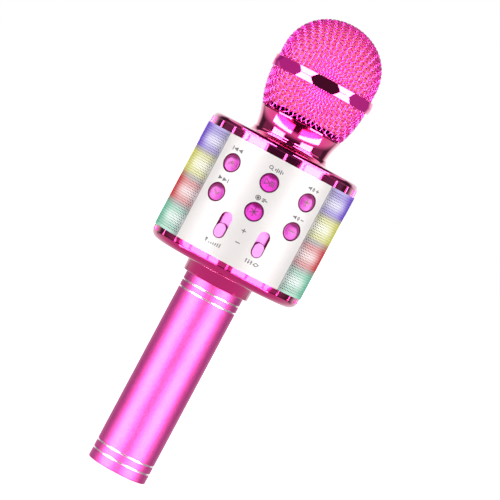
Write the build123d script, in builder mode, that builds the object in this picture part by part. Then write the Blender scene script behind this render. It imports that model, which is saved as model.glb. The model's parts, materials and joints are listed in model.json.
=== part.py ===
"""Handheld karaoke microphone with built-in speakers and lights.

Frame: millimetres, +Z up along the handle, origin on the axis at the foot of
the handle. The key panel faces -Y, the socket panel faces +Y, and the two
light grilles face -X (left) and +X (right).

A "turn" is an angle in degrees from the front (-Y) towards +X. The points of
turned outlines are (radius, z) unless noted.
"""

import os
from math import atan2, cos, degrees, radians, sin, sqrt

from build123d import *

os.makedirs("parts", exist_ok=True)

# ---------------------------------------------------------------- shared sizes
# speaker drum
BODY_R = 40.0          # outside of the key panel, socket panel and light grilles
PANEL_T = 2.0          # their wall
Z_LOW = 115.3          # lower edge of the panels
Z_HIGH = 171.1         # upper edge of the panels
PANEL_H = Z_HIGH - Z_LOW
PANEL_HALF = 43.0      # half of the angle a key or socket panel covers
PANEL_GAP = 0.25       # angle left open between neighbouring panels
GRILLE_HALF = 90 - PANEL_HALF - PANEL_GAP   # half of the angle a light grille covers
# top and bottom covers
COVER_R = 39.6         # their rim
LIP_R0, LIP_R1 = 36.2, 37.9   # locating lip of each cover, inside the panels
RIM_RIBS = 24          # small rounded ribs round each rim, with sunk windows between them
RIB_TURN = 1.5         # turn of the first rib
RIB_R = 0.6
WINDOW_SINK = 0.6
# neck
Z_DECK = 177.5         # top of the top cover
Z_NECK = 190.1         # top of the neck
# screws
COVER_SCREW_R = 28.0   # axis to the four screws of each cover
NECK_SCREW_R = 14.5    # axis to the three neck screws
HANDLE_SCREW_R = 10.6  # axis to the three handle screws
SHANK_R = 1.0
PILOT_R = 1.02         # hole a screw bites into
CLEARANCE_R = 1.25     # hole a screw passes through
HEAD_SINK_R = 2.5      # room for the head of a cover screw
SMALL_HEAD_R, COVER_HEAD_R = 2.0, 2.2
HEAD_H = 1.55
SHANK_OVERLAP = 0.05   # how far a shank starts inside its head
POST_R = 3.2           # screw posts of the top cover and the chassis


# ---------------------------------------------------------------- helpers
def level(z):
    """Horizontal plane at a height, facing up."""
    return Plane.XY.offset(z)


def upright(y):
    """Vertical plane at y with x right and z up; it faces -Y, so negative amounts go to +Y."""
    return Plane.XZ.offset(-y)


def radial_plane(turn, r, z):
    """Plane facing outwards at a turn, local y up."""
    s, c = sin(radians(turn)), cos(radians(turn))
    return Plane(origin=(r * s, -r * c, z), x_dir=(c, s, 0), z_dir=(s, -c, 0))


def outward(point, turn):
    """How far a point lies outwards along a turn."""
    return point.X * sin(radians(turn)) - point.Y * cos(radians(turn))


def sector(r0, r1, middle, half):
    """Closed outline of an annular sector round the turn `middle`."""
    start = middle - 90 - half
    outer = CenterArc((0, 0), r1, start, 2 * half)
    inner = CenterArc((0, 0), r0, start, 2 * half)
    Line(outer @ 0, inner @ 0)
    Line(outer @ 1, inner @ 1)


def cover_screw_spots():
    return PolarLocations(COVER_SCREW_R, 4, start_angle=45)


def neck_screw_spots():
    return PolarLocations(NECK_SCREW_R, 3, start_angle=90)


def handle_screw_spots():
    return PolarLocations(HANDLE_SCREW_R, 3, start_angle=30)


def rim_rib_spots():
    return PolarLocations(COVER_R - 0.1 - RIB_R, RIM_RIBS, start_angle=-90 + RIB_TURN)


def turned(points, axis=Axis.Z):
    """Part turned from a closed outline in the XZ plane."""
    with BuildPart() as part:
        with BuildSketch(Plane.XZ):
            with BuildLine():
                Polyline(*points, close=True)
            make_face()
        revolve(axis=axis)
    return part


def save(builder, name):
    builder.part.label = name
    export_step(builder.part, f"parts/{name}.step")


# ================================================================ handle
TUBE_R, TUBE_RI = 15.4, 14.05
TUBE_TOP = 111.5
BANDS = (5.3, 9.6, 94.2, 97.9)   # heights of the turned grooves
BAND_DEPTH = 0.3
BAND_FLOOR_HALF, BAND_MOUTH_HALF = 0.2, 0.42

tube_outline = [(TUBE_RI + 0.3, 0), (TUBE_R - 0.4, 0), (TUBE_R, 0.4)]
for z in BANDS:
    tube_outline += [
        (TUBE_R, z - BAND_MOUTH_HALF),
        (TUBE_R - BAND_DEPTH, z - BAND_FLOOR_HALF),
        (TUBE_R - BAND_DEPTH, z + BAND_FLOOR_HALF),
        (TUBE_R, z + BAND_MOUTH_HALF),
    ]
tube_outline += [
    (TUBE_R, TUBE_TOP - 0.3), (TUBE_R - 0.3, TUBE_TOP), (TUBE_RI, TUBE_TOP), (TUBE_RI, 0.3),
]
save(turned(tube_outline), "handle_tube")

END_CAP_FOOT = 0.4
END_CAP_OUTLINE = [
    (0, END_CAP_FOOT), (13.6, END_CAP_FOOT), (13.98, 0.8), (13.98, 7.4), (12.2, 7.4),
    (12.2, 2.4), (0, 2.4),
]
with BuildPart() as end_cap:
    with BuildSketch(Plane.XZ):
        with BuildLine():
            Polyline(*END_CAP_OUTLINE, close=True)
        make_face()
    revolve(axis=Axis.Z)
    # shallow round recess in its underside
    with BuildSketch(level(END_CAP_FOOT)):
        Circle(10.5)
    extrude(amount=0.5, mode=Mode.SUBTRACT)
save(end_cap, "end_cap")

BATTERY_OUTLINE = [
    (0, 11.6), (8.6, 11.6), (9.1, 12.1), (9.1, 73.6), (8.75, 74.0), (8.75, 74.6),
    (9.1, 75.0), (9.1, 76.2), (8.7, 76.6), (3.0, 76.6), (3.0, 77.4), (0, 77.4),
]
save(turned(BATTERY_OUTLINE), "battery")

# plastic cup that holds the cell and stands on the end cap
SLEEVE_R, SLEEVE_BORE_R = 13.9, 9.25
SLEEVE_Z, SLEEVE_H = 7.45, 66.5
SLEEVE_CUT_H = 64      # runs out above the open top
with BuildPart() as battery_sleeve:
    with BuildSketch(level(SLEEVE_Z)):
        Circle(SLEEVE_R)
    extrude(amount=SLEEVE_H)
    with BuildSketch(level(11.55)):
        Circle(SLEEVE_BORE_R)
    extrude(amount=SLEEVE_CUT_H, mode=Mode.SUBTRACT)
    # channel for the lead that comes up from the lower end
    with BuildSketch(level(12.5)):
        with Locations((0, 10.9)):
            Rectangle(3.2, 4.0)
    extrude(amount=SLEEVE_CUT_H, mode=Mode.SUBTRACT)
save(battery_sleeve, "battery_sleeve")

PLUG_R, PLUG_BORE_R = 13.95, 6.5
PLUG_Z, PLUG_H = 101.0, 10.4
with BuildPart() as handle_plug:
    with BuildSketch(level(PLUG_Z)):
        Circle(PLUG_R)
        Circle(PLUG_BORE_R, mode=Mode.SUBTRACT)
    extrude(amount=PLUG_H)
    with BuildSketch(level(PLUG_Z + PLUG_H)):
        with handle_screw_spots():
            Circle(PILOT_R)
    extrude(amount=-8.2, mode=Mode.SUBTRACT)
    circles = handle_plug.edges().filter_by(GeomType.CIRCLE)
    chamfer(circles.group_by(Axis.Z)[0].sort_by(SortBy.RADIUS)[-1], 0.5)
save(handle_plug, "handle_plug")

HANDLE_HEAD_Z = 113.65   # underside of the heads
HANDLE_SHANK_H = 10.1
CROSS_L, CROSS_W = 2.6, 0.5
with BuildPart() as handle_screws:
    with BuildSketch(level(HANDLE_HEAD_Z + SHANK_OVERLAP - HANDLE_SHANK_H)):
        with handle_screw_spots():
            Circle(SHANK_R)
    extrude(amount=HANDLE_SHANK_H)
    with BuildSketch(level(HANDLE_HEAD_Z)):
        with handle_screw_spots():
            Circle(SMALL_HEAD_R)
    extrude(amount=1.5)
    with BuildSketch(level(HANDLE_HEAD_Z + 1.5)):
        with handle_screw_spots():
            Rectangle(CROSS_L, CROSS_W)
            Rectangle(CROSS_W, CROSS_L)
    extrude(amount=-0.7, mode=Mode.SUBTRACT)
save(handle_screws, "handle_screws")

# ================================================================ bottom cover
COLLAR_Z = 102.2       # lower end of the collar that holds the tube
COLLAR_RI = 15.47
RIM_FOOT = 112.4       # lower end of the rim ribs
BOTTOM_RIM_TOP = Z_LOW - 0.02
# rim, lip, floor and collar, from the foot of the rim round to the start
BOTTOM_COVER_INSIDE = [
    (COVER_R - 0.05, RIM_FOOT), (COVER_R - 0.1, 112.55), (COVER_R - 0.7, 112.6),
    (COVER_R - 0.25, BOTTOM_RIM_TOP), (LIP_R1, BOTTOM_RIM_TOP), (LIP_R1, 117.1),
    (LIP_R1 - 0.3, 117.3), (LIP_R0, 117.3), (LIP_R0, 112.6), (34.6, 111.1), (30.5, 110.85),
    (17.7, 110.8), (17.7, 113.6), (9.0, 113.6), (9.0, 111.6), (COLLAR_RI, 111.6),
    (COLLAR_RI, COLLAR_Z),
]
# z, radius, height, mode of the cylinders at the cover screws
BOTTOM_COVER_CYLINDERS = (
    (109.2, 3.4, 6.5, Mode.ADD),                  # posts that meet the chassis
    (107.0, HEAD_SINK_R, 4.2, Mode.SUBTRACT),     # screw sinks open downwards
    (107.0, CLEARANCE_R, 10, Mode.SUBTRACT),
)
with BuildPart() as bottom_cover:
    with BuildSketch(Plane.XZ):
        with BuildLine():
            Polyline(
                (COLLAR_RI, COLLAR_Z), (17.1, COLLAR_Z), (17.45, COLLAR_Z + 0.35), (17.65, 107.7),
            )
            ThreePointArc((17.65, 107.7), (17.94, 108.36), (18.6, 108.65))
            Line((18.6, 108.65), (35.2, 108.95))
            ThreePointArc((35.2, 108.95), (38.3, 110.1), (COVER_R - 0.05, RIM_FOOT))
            Polyline(*BOTTOM_COVER_INSIDE)
        make_face()
    revolve(axis=Axis.Z)
    for z, radius, height, mode in BOTTOM_COVER_CYLINDERS:
        with BuildSketch(level(z)):
            with cover_screw_spots():
                Circle(radius)
        extrude(amount=height, mode=mode)
    # holes for the screws that hold the handle plug
    with BuildSketch(level(111.0)):
        with handle_screw_spots():
            Circle(CLEARANCE_R)
    extrude(amount=4, mode=Mode.SUBTRACT)
    # ribs that divide the sunk rim into windows
    with BuildSketch(level(RIM_FOOT)):
        with rim_rib_spots():
            Circle(RIB_R)
    extrude(amount=Z_LOW - 0.05 - RIM_FOOT)
save(bottom_cover, "bottom_cover")


def cover_screws(z, shank_h):
    """Four screws pointing up, their heads standing on height z, with crosses cut from below."""
    with BuildPart() as screws:
        with BuildSketch(level(z)):
            with cover_screw_spots():
                Circle(COVER_HEAD_R)
        extrude(amount=HEAD_H)
        with BuildSketch(level(z + HEAD_H - SHANK_OVERLAP)):
            with cover_screw_spots():
                Circle(SHANK_R)
        extrude(amount=shank_h)
        with BuildSketch(level(z)):
            with cover_screw_spots():
                Rectangle(2.8, 0.55)
                Rectangle(0.55, 2.8)
        extrude(amount=0.8, mode=Mode.SUBTRACT)
    return screws


save(cover_screws(z=109.6, shank_h=11.5), "bottom_cover_screws")
save(cover_screws(z=168.0, shank_h=6.0), "top_cover_screws")

# ================================================================ top cover
TOP_LIP_Z = 169.1      # lower end of the lip
TOP_RIM_FOOT = Z_HIGH + 0.02
WINDOW_R = COVER_R - WINDOW_SINK
EDGE_R = COVER_R - 0.35
# lip and sunk rim, up to the start of the rounded shoulder
TOP_COVER_RIM = [
    (LIP_R0, TOP_LIP_Z), (LIP_R1 - 0.3, TOP_LIP_Z), (LIP_R1, 169.3), (LIP_R1, TOP_RIM_FOOT),
    (WINDOW_R, TOP_RIM_FOOT), (WINDOW_R, 174.5), (COVER_R - 0.05, 174.55), (COVER_R, 174.65),
    (COVER_R, 175.0), (EDGE_R, 175.12), (EDGE_R, 175.25),
]
# deck and inside, from the end of the shoulder back to the lip
TOP_COVER_DECK = [
    (36.9, 177.1), (23.4, Z_DECK), (8.0, Z_DECK), (8.0, 175.4), (33.6, 175.4),
    (LIP_R0, 173.9), (LIP_R0, TOP_LIP_Z),
]
with BuildPart() as top_cover:
    with BuildSketch(Plane.XZ):
        with BuildLine():
            Polyline(*TOP_COVER_RIM)
            ThreePointArc(TOP_COVER_RIM[-1], (38.55, 176.6), TOP_COVER_DECK[0])
            Polyline(*TOP_COVER_DECK)
        make_face()
    revolve(axis=Axis.Z)
    # screw posts and their pilot holes
    for z, radius, mode in ((171.7, POST_R, Mode.ADD), (171.0, PILOT_R, Mode.SUBTRACT)):
        with BuildSketch(level(z)):
            with cover_screw_spots():
                Circle(radius)
        extrude(amount=5.0, mode=mode)
    with BuildSketch(level(174.5)):
        with neck_screw_spots():
            Circle(CLEARANCE_R)
    extrude(amount=5, mode=Mode.SUBTRACT)
    with BuildSketch(level(Z_HIGH + 0.05)):
        with rim_rib_spots():
            Circle(RIB_R)
    extrude(amount=174.7 - Z_HIGH - 0.05)
save(top_cover, "top_cover")

# ================================================================ neck
NECK_FOOT = Z_DECK + 0.03
NECK_RI = 8.2          # hole in its floor
NECK_CUP_R = 17.1      # inside of its wall
NECK_FLOOR = 181.5
with BuildPart() as neck:
    with BuildSketch(Plane.XZ):
        with BuildLine():
            Line((NECK_RI, NECK_FOOT), (22.2, NECK_FOOT))
            ThreePointArc((22.2, NECK_FOOT), (20.5, 178.35), (19.8, 180.1))
            Polyline((19.8, 180.1), (19.6, 180.45), (19.3, 180.5), (19.2, 180.9))
            ThreePointArc((19.2, 180.9), (19.85, 185.4), (21.35, Z_NECK))
            Polyline(
                (21.35, Z_NECK), (NECK_CUP_R, Z_NECK), (NECK_CUP_R, NECK_FLOOR),
                (NECK_RI, NECK_FLOOR), (NECK_RI, NECK_FOOT),
            )
        make_face()
    revolve(axis=Axis.Z)
    with BuildSketch(level(177.0)):
        with neck_screw_spots():
            Circle(PILOT_R)
    extrude(amount=3.9, mode=Mode.SUBTRACT)
save(neck, "neck")

NECK_HEAD_Z = 173.75   # underside of the heads
with BuildPart() as neck_screws:
    with BuildSketch(level(NECK_HEAD_Z)):
        with neck_screw_spots():
            Circle(SMALL_HEAD_R)
    extrude(amount=HEAD_H)
    with BuildSketch(level(175.2)):
        with neck_screw_spots():
            Circle(SHANK_R)
    extrude(amount=5.5)
save(neck_screws, "neck_screws")

# ================================================================ capsule
HOLDER_OUTLINE = [
    (1.7, 179.9), (8.15, 179.9), (8.15, 181.54), (12.2, 181.54), (12.2, 183.3), (6.8, 183.4),
    (5.6, 186.5), (5.4, 201.5), (9.7, 204.3), (9.7, 212.5), (8.8, 212.5), (8.8, 204.9),
    (1.7, 204.9),
]
CUSHION_OUTLINE = [
    (1.7, 204.95), (8.7, 204.95), (8.7, 212.9), (7.6, 212.9), (7.6, 205.9), (1.7, 205.9),
]
save(turned(HOLDER_OUTLINE), "capsule_holder")
save(turned(CUSHION_OUTLINE), "capsule_cushion")

CAPSULE_FACE = 213.0   # front plate, inside the raised rim
CAPSULE_OUTLINE = [
    (0, 205.95), (7.2, 205.95), (7.5, 206.25), (7.5, 213.1), (7.1, 213.5), (5.6, 213.5),
    (5.6, CAPSULE_FACE), (0, CAPSULE_FACE),
]
SOUND_PORT_R = 0.6
with BuildPart() as mic_capsule:
    with BuildSketch(Plane.XZ):
        with BuildLine():
            Polyline(*CAPSULE_OUTLINE, close=True)
        make_face()
    revolve(axis=Axis.Z)
    # sound ports in the front plate
    with BuildSketch(level(CAPSULE_FACE)):
        with PolarLocations(3.4, 6):
            Circle(SOUND_PORT_R)
        Circle(SOUND_PORT_R)
    extrude(amount=-0.8, mode=Mode.SUBTRACT)
save(mic_capsule, "mic_capsule")

# ================================================================ grille head
# arcs are (centre r, centre z, radius)
CROWN = (0.0, 217.2, 27.6)        # top of the crown
SHOULDER_X, SHOULDER_R = 2.3, 22.95
# the shoulder is tangent to the crown
SHOULDER = (
    SHOULDER_X, CROWN[1] + sqrt((CROWN[2] - SHOULDER_R) ** 2 - SHOULDER_X**2), SHOULDER_R,
)
MEET = degrees(atan2(SHOULDER[1] - CROWN[1], SHOULDER_X))   # angle at which the two meet
CROWN_TOP = CROWN[1] + CROWN[2]
BOWL = (-23.4, 210.5, 48.8)       # lower cup
BOWL_TOP = BOWL[1]
BOWL_MID = 201.0
BOWL_FOOT = 191.1
HEAD_R = SHOULDER_X + SHOULDER_R  # straight part of the crown
MESH_T = 1.2


def shoulder_foot(inset):
    """Lower end of the shoulder arc moved inwards by inset."""
    return (SHOULDER[0] + SHOULDER[2] - inset, SHOULDER[1])


def crown_profile(inset):
    """Half profile of the crown from its straight part to the axis."""
    CenterArc(SHOULDER[:2], SHOULDER[2] - inset, 0, MEET)
    CenterArc(CROWN[:2], CROWN[2] - inset, MEET, 90 - MEET)


def bowl_point(inset, z):
    """Point of the lower cup's profile at a height."""
    r0, z0, radius = BOWL
    return (r0 + sqrt((radius - inset) ** 2 - (z - z0) ** 2), z)


def bowl_arc(inset, *heights):
    """Arc of the lower cup's profile through three heights."""
    ThreePointArc(*[bowl_point(inset, z) for z in heights])


COLLAR_OUTLINE = [
    (15.7, 183.1), (16.7, 183.1), (17.0, 183.4), (17.0, 190.15), (21.35, 190.15), (21.5, 190.3),
    (21.5, 190.9), (21.35, 191.05), (19.95, 191.05), (19.95, 193.9), (15.7, 193.9),
]
save(turned(COLLAR_OUTLINE), "grille_collar")

LOWER_RIM_R = HEAD_R - 0.05
LOWER_RIM_Z = 212.1
with BuildPart() as lower_grille:
    with BuildSketch(Plane.XZ):
        with BuildLine():
            bowl_arc(0, BOWL_FOOT, BOWL_MID, BOWL_TOP)
            Line(bowl_point(0, BOWL_TOP), (LOWER_RIM_R, LOWER_RIM_Z))
            Line((LOWER_RIM_R, LOWER_RIM_Z), (LOWER_RIM_R - MESH_T, LOWER_RIM_Z))
            Line((LOWER_RIM_R - MESH_T, LOWER_RIM_Z), bowl_point(MESH_T, BOWL_TOP))
            bowl_arc(MESH_T, BOWL_TOP, BOWL_MID, BOWL_FOOT)
            Line(bowl_point(MESH_T, BOWL_FOOT), bowl_point(0, BOWL_FOOT))
        make_face()
    revolve(axis=Axis.Z)
save(lower_grille, "lower_grille")

UPPER_RIM_Z = 213.1
with BuildPart() as upper_grille:
    with BuildSketch(Plane.XZ):
        with BuildLine():
            crown_profile(0)
            crown_profile(MESH_T)
            Line((0, CROWN_TOP), (0, CROWN_TOP - MESH_T))
            Polyline(
                shoulder_foot(0), (HEAD_R, UPPER_RIM_Z), (HEAD_R - MESH_T, UPPER_RIM_Z),
                shoulder_foot(MESH_T),
            )
        make_face()
    revolve(axis=Axis.Z)
save(upper_grille, "upper_grille")

RING_Z = 212.6         # middle of the ring
RING_H = 2.9           # half of its height
RING_R = 27.55         # its largest radius, half way up
RING_FLAT = 26.4       # axis to the ridge of each anti-roll flat
RING_FLAT_FALL = 0.12  # how far a flat falls back at its upper and lower edges
RING_TURN = 3.3        # turn of the front flat
RING_LOW, RING_HIGH = RING_Z - RING_H, RING_Z + RING_H
RING_OUTLINE = [
    (25.5, RING_LOW), (26.7, RING_LOW), (26.8, RING_LOW + 0.1), (RING_R, RING_Z - 0.1),
    (RING_R, RING_Z + 0.1), (26.8, RING_HIGH - 0.1), (26.7, RING_HIGH), (25.5, RING_HIGH),
    (25.5, RING_Z + 0.4), (24.6, RING_Z + 0.4), (24.6, RING_Z - 0.4), (25.5, RING_Z - 0.4),
]
# section taken away outside each flat; its first column runs inwards
FLAT_CUTTER = [
    (-RING_FLAT, RING_Z), (-RING_FLAT + RING_FLAT_FALL, RING_LOW - 0.1),
    (-RING_R - 2, RING_LOW - 0.1), (-RING_R - 2, RING_HIGH + 0.1),
    (-RING_FLAT + RING_FLAT_FALL, RING_HIGH + 0.1),
]
with BuildPart() as grille_ring:
    with BuildSketch(Plane.XZ):
        with BuildLine():
            Polyline(*RING_OUTLINE, close=True)
        make_face()
    revolve(axis=Axis.Z)
    # eight anti-roll flats, each with a faint ridge along its middle
    for i in range(8):
        with BuildSketch(radial_plane(RING_TURN + 45 * i, 0, 0).rotated((0, 90, 0))):
            with BuildLine():
                Polyline(*FLAT_CUTTER, close=True)
            make_face()
        extrude(amount=12, both=True, mode=Mode.SUBTRACT)
save(grille_ring, "grille_ring")

FOAM_OUT, FOAM_T = 1.5, 5.0       # inset of the foam from the head's outside, and its thickness
FOAM_IN = FOAM_OUT + FOAM_T
FOAM_FOOT = 194.1
with BuildPart() as foam_liner:
    with BuildSketch(Plane.XZ):
        with BuildLine():
            for inset in (FOAM_OUT, FOAM_IN):
                crown_profile(inset)
                Line(shoulder_foot(inset), bowl_point(inset, BOWL_TOP))
                bowl_arc(inset, BOWL_TOP, 202.0, FOAM_FOOT)
            Line((0, CROWN_TOP - FOAM_OUT), (0, CROWN_TOP - FOAM_IN))
            Line(bowl_point(FOAM_OUT, FOAM_FOOT), bowl_point(FOAM_IN, FOAM_FOOT))
        make_face()
    revolve(axis=Axis.Z)
save(foam_liner, "foam_liner")

# ================================================================ controls: places
KEY_R, KEY_HOLE = 4.55, 4.75
KEY_TURN = 30.5        # outer key columns of the front
REAR_KEY_TURN = 16.0   # rear keys, to either side of the back
ROW_HIGH, ROW_LOW = 158.6, 143.1
# name: (turn, z, sign)
FRONT_KEYS = {
    "prev_button": (-KEY_TURN, ROW_HIGH, "up"),
    "next_button": (-KEY_TURN, ROW_LOW, "down"),
    "scan_button": (0, ROW_HIGH, "play"),
    "rec_button": (0, ROW_LOW, "star"),
    "volume_up_button": (KEY_TURN, ROW_HIGH, "plus"),
    "volume_down_button": (KEY_TURN, ROW_LOW, "minus"),
}
REAR_KEYS = {
    "mode_button": (180 - REAR_KEY_TURN, ROW_HIGH, "ring"),
    "light_button": (180 + REAR_KEY_TURN, ROW_HIGH, "sun"),
}
KEYS = FRONT_KEYS | REAR_KEYS

SLOT_W = 6.0           # width of the fader and power slots
FADER_TURN = 14.7
FADER_Z, FADER_SLOT, FADER_TRAVEL = 130.6, 13.4, 5.6
POWER_Z, POWER_SLOT, POWER_TRAVEL = 145.5, 11.2, 3.0

# sockets, as (x, z) of their middles
PORT_Z = 126.6
USB_AT = (0, PORT_Z)
CHARGE_AT = (-12, 125.1)
CARD_AT = (0, 121.4)
AUX_AT = (12, PORT_Z)
BAY_Y = 35.0           # floor of the socket bay
MOUTH_Y = BAY_Y - 0.1  # outer ends of the USB, charge and aux sockets

# ================================================================ drum panels
CUT_R, CUT_DEPTH = 36, 6   # radial cuts through the panels: start and length

with BuildPart() as front_panel:
    with BuildSketch(level(Z_LOW)):
        with BuildLine():
            sector(BODY_R - PANEL_T, BODY_R, 0, PANEL_HALF)
        make_face()
    extrude(amount=PANEL_H)
    for turn, z, _ in FRONT_KEYS.values():
        with BuildSketch(radial_plane(turn, CUT_R, z)):
            Circle(KEY_HOLE)
        extrude(amount=CUT_DEPTH, mode=Mode.SUBTRACT)
    for turn in (-FADER_TURN, FADER_TURN):
        with BuildSketch(radial_plane(turn, CUT_R, FADER_Z)):
            SlotOverall(FADER_SLOT, SLOT_W, rotation=90)
        extrude(amount=CUT_DEPTH, mode=Mode.SUBTRACT)
save(front_panel, "front_panel")

with BuildPart() as back_panel:
    with BuildSketch(level(Z_LOW)):
        with BuildLine():
            sector(BODY_R - PANEL_T, BODY_R, 180, PANEL_HALF)
        make_face()
    extrude(amount=PANEL_H)
    # block behind the socket bay, kept inside the drum
    with BuildSketch(level(117.9)):
        Circle(39.0)
        with Locations((0, -4)):
            Rectangle(90, 74, mode=Mode.SUBTRACT)
        Rectangle(43, 90, mode=Mode.INTERSECT)
    extrude(amount=15.1)
    # the bay itself
    with BuildSketch(level(119.2)):
        with Locations((0, BAY_Y + 5)):
            Rectangle(34.5, 10)
    extrude(amount=12.4, mode=Mode.SUBTRACT)
    # socket openings
    with BuildSketch(upright(30)):
        with Locations(USB_AT):
            RectangleRounded(13.5, 6.2, 0.4)
        with Locations(CHARGE_AT):
            RectangleRounded(8.0, 3.2, 0.8)
        with Locations(CARD_AT):
            RectangleRounded(12.8, 2.2, 0.3)
        with Locations(AUX_AT):
            Circle(3.1)
    extrude(amount=-9, mode=Mode.SUBTRACT)
    for turn, z, _ in REAR_KEYS.values():
        with BuildSketch(radial_plane(turn, CUT_R, z)):
            Circle(KEY_HOLE)
        extrude(amount=CUT_DEPTH, mode=Mode.SUBTRACT)
    # power slot
    with BuildSketch(radial_plane(180, CUT_R, POWER_Z)):
        SlotOverall(POWER_SLOT, SLOT_W, rotation=90)
    extrude(amount=CUT_DEPTH, mode=Mode.SUBTRACT)
    # hole for the status lens
    with BuildSketch(radial_plane(180, CUT_R, ROW_HIGH)):
        Circle(1.25)
    extrude(amount=CUT_DEPTH, mode=Mode.SUBTRACT)
save(back_panel, "back_panel")

for name, middle in (("left_light_grille", -90), ("right_light_grille", 90)):
    with BuildPart() as light_grille:
        with BuildSketch(level(Z_LOW)):
            with BuildLine():
                sector(BODY_R - PANEL_T, BODY_R, middle, GRILLE_HALF)
            make_face()
        extrude(amount=PANEL_H)
    save(light_grille, name)

# ================================================================ keys
KEY_FACE_R = 39.75     # drum axis to the rim of a key's face
DISH_R, DISH_DEPTH = 22.0, 0.3
BAR = 0.55             # width of straight strokes in the play, plus and minus signs


def key(turn, z, sign):
    """A push key with its flange, its stem and a raised sign on a dished face."""
    with BuildPart() as cap:
        # flange, then cap
        with BuildSketch(radial_plane(turn, 36.7, z)):
            Circle(5.35)
        extrude(amount=0.8)
        with BuildSketch(radial_plane(turn, 37.4, z)):
            Circle(KEY_R)
        extrude(amount=KEY_FACE_R - 37.4)
        rim = cap.edges().filter_by(GeomType.CIRCLE).group_by(
            lambda edge: outward(edge.arc_center, turn)
        )[-1]
        fillet(rim, 0.45)
        # shallow dish: a large sphere takes the middle of the face away
        with Locations(radial_plane(turn, KEY_FACE_R + DISH_R - DISH_DEPTH, z)):
            Sphere(DISH_R, mode=Mode.SUBTRACT)
        # stem
        with BuildSketch(radial_plane(turn, 34.7, z)):
            Circle(1.6)
        extrude(amount=2.2)
        with BuildSketch(radial_plane(turn, KEY_FACE_R - 0.6, z)):
            if sign in ("up", "down"):
                flip = 1 if sign == "up" else -1
                for side in (-1, 1):
                    with BuildLine():
                        Polyline(
                            (0, 1.25 * flip), (side * 2.1, -1.15 * flip),
                            (side * 1.6, -1.5 * flip), (0, 0.45 * flip), close=True,
                        )
                    make_face()
            elif sign == "play":
                with BuildLine():
                    Polyline((-2.3, -1.4), (-2.3, 1.4), (-0.1, 0), close=True)
                make_face()
                with Locations((0.8, 0), (1.9, 0)):
                    Rectangle(BAR, 2.8)
            elif sign == "star":
                for angle in (30, 90, 150):
                    Rectangle(4.2, 0.5, rotation=angle)
            elif sign in ("plus", "minus"):
                Rectangle(3.9, BAR)
                if sign == "plus":
                    Rectangle(BAR, 3.9)
            elif sign == "ring":
                Circle(1.9)
                Circle(1.35, mode=Mode.SUBTRACT)
            elif sign == "sun":
                Circle(0.9)
                with PolarLocations(1.75, 8):
                    Rectangle(0.8, 0.4)
        extrude(amount=0.47)
    return cap


for name, (turn, z, sign) in KEYS.items():
    save(key(turn, z, sign), name)

SWITCH_R = 32.05       # drum axis to the backs of the switches and slide housings
with BuildPart() as key_switches:
    for turn, z, _ in KEYS.values():
        with BuildSketch(radial_plane(turn, SWITCH_R, z)):
            Rectangle(6.0, 6.0)
        extrude(amount=3.3)
        with BuildSketch(radial_plane(turn, 33.9, z)):
            Circle(1.8)
        extrude(amount=3, mode=Mode.SUBTRACT)
save(key_switches, "key_switches")

# curved circuits behind the front and rear keys
with BuildPart() as key_circuits:
    for z, height, middle, half in ((119.5, 49, 0, 39), (137.0, 31.5, 180, 25)):
        with BuildSketch(level(z)):
            with BuildLine():
                sector(31.62, 31.98, middle, half)
            make_face()
        extrude(amount=height)
save(key_circuits, "key_circuits")

# ================================================================ faders and power slide
KNOB_W, KNOB_H = 5.6, 7.6
LEVER_H = 3.4


def slide_knob(turn, slot_mid, travel, slot_h):
    """A sliding knob at the low end of its slot, with its cover plate and lever."""
    z = slot_mid - travel / 2
    plate_half = slot_mid + slot_h / 2 - z + 0.4
    with BuildPart() as knob:
        with BuildSketch(radial_plane(turn, 36.9, z)):
            Rectangle(7.6, 2 * plate_half)
        extrude(amount=0.65)
        with BuildSketch(radial_plane(turn, 37.5, z)):
            SlotOverall(KNOB_H, KNOB_W, rotation=90)
        extrude(amount=2.9)
        top = knob.faces().group_by(lambda face: outward(face.center(), turn))[-1]
        fillet(top.edges(), 0.5)
        with BuildSketch(radial_plane(turn, 34.4, z)):
            Rectangle(1.2, LEVER_H)
        extrude(amount=2.6)
    return knob


def slide_body(turn, mid, height, travel):
    """Housing of a slide control, with the slot its lever runs in."""
    with BuildPart() as body:
        with BuildSketch(radial_plane(turn, SWITCH_R, mid)):
            Rectangle(7.0, height)
        extrude(amount=3.8)
        with BuildSketch(radial_plane(turn, 34.0, mid)):
            Rectangle(1.8, LEVER_H + travel + 0.6)
        extrude(amount=3, mode=Mode.SUBTRACT)
    return body


# knob name, housing name, turn, z of the slot's middle, travel, slot height, housing height
SLIDES = (
    ("mic_volume_knob", "mic_volume_fader", -FADER_TURN, FADER_Z, FADER_TRAVEL, FADER_SLOT, 20),
    ("remix_knob", "remix_fader", FADER_TURN, FADER_Z, FADER_TRAVEL, FADER_SLOT, 20),
    ("power_knob", "power_switch", 180, POWER_Z, POWER_TRAVEL, POWER_SLOT, 14),
)
for knob_name, body_name, turn, mid, travel, slot_h, body_h in SLIDES:
    save(slide_knob(turn, mid, travel, slot_h), knob_name)
    save(slide_body(turn, mid, body_h, travel), body_name)

with BuildPart() as status_lens:
    with BuildSketch(radial_plane(180, 33.0, ROW_HIGH)):
        Circle(1.15)
    extrude(amount=6.8)
    # flange
    with BuildSketch(radial_plane(180, 36.9, ROW_HIGH)):
        Circle(2.0)
    extrude(amount=0.8)
save(status_lens, "status_lens")

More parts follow.
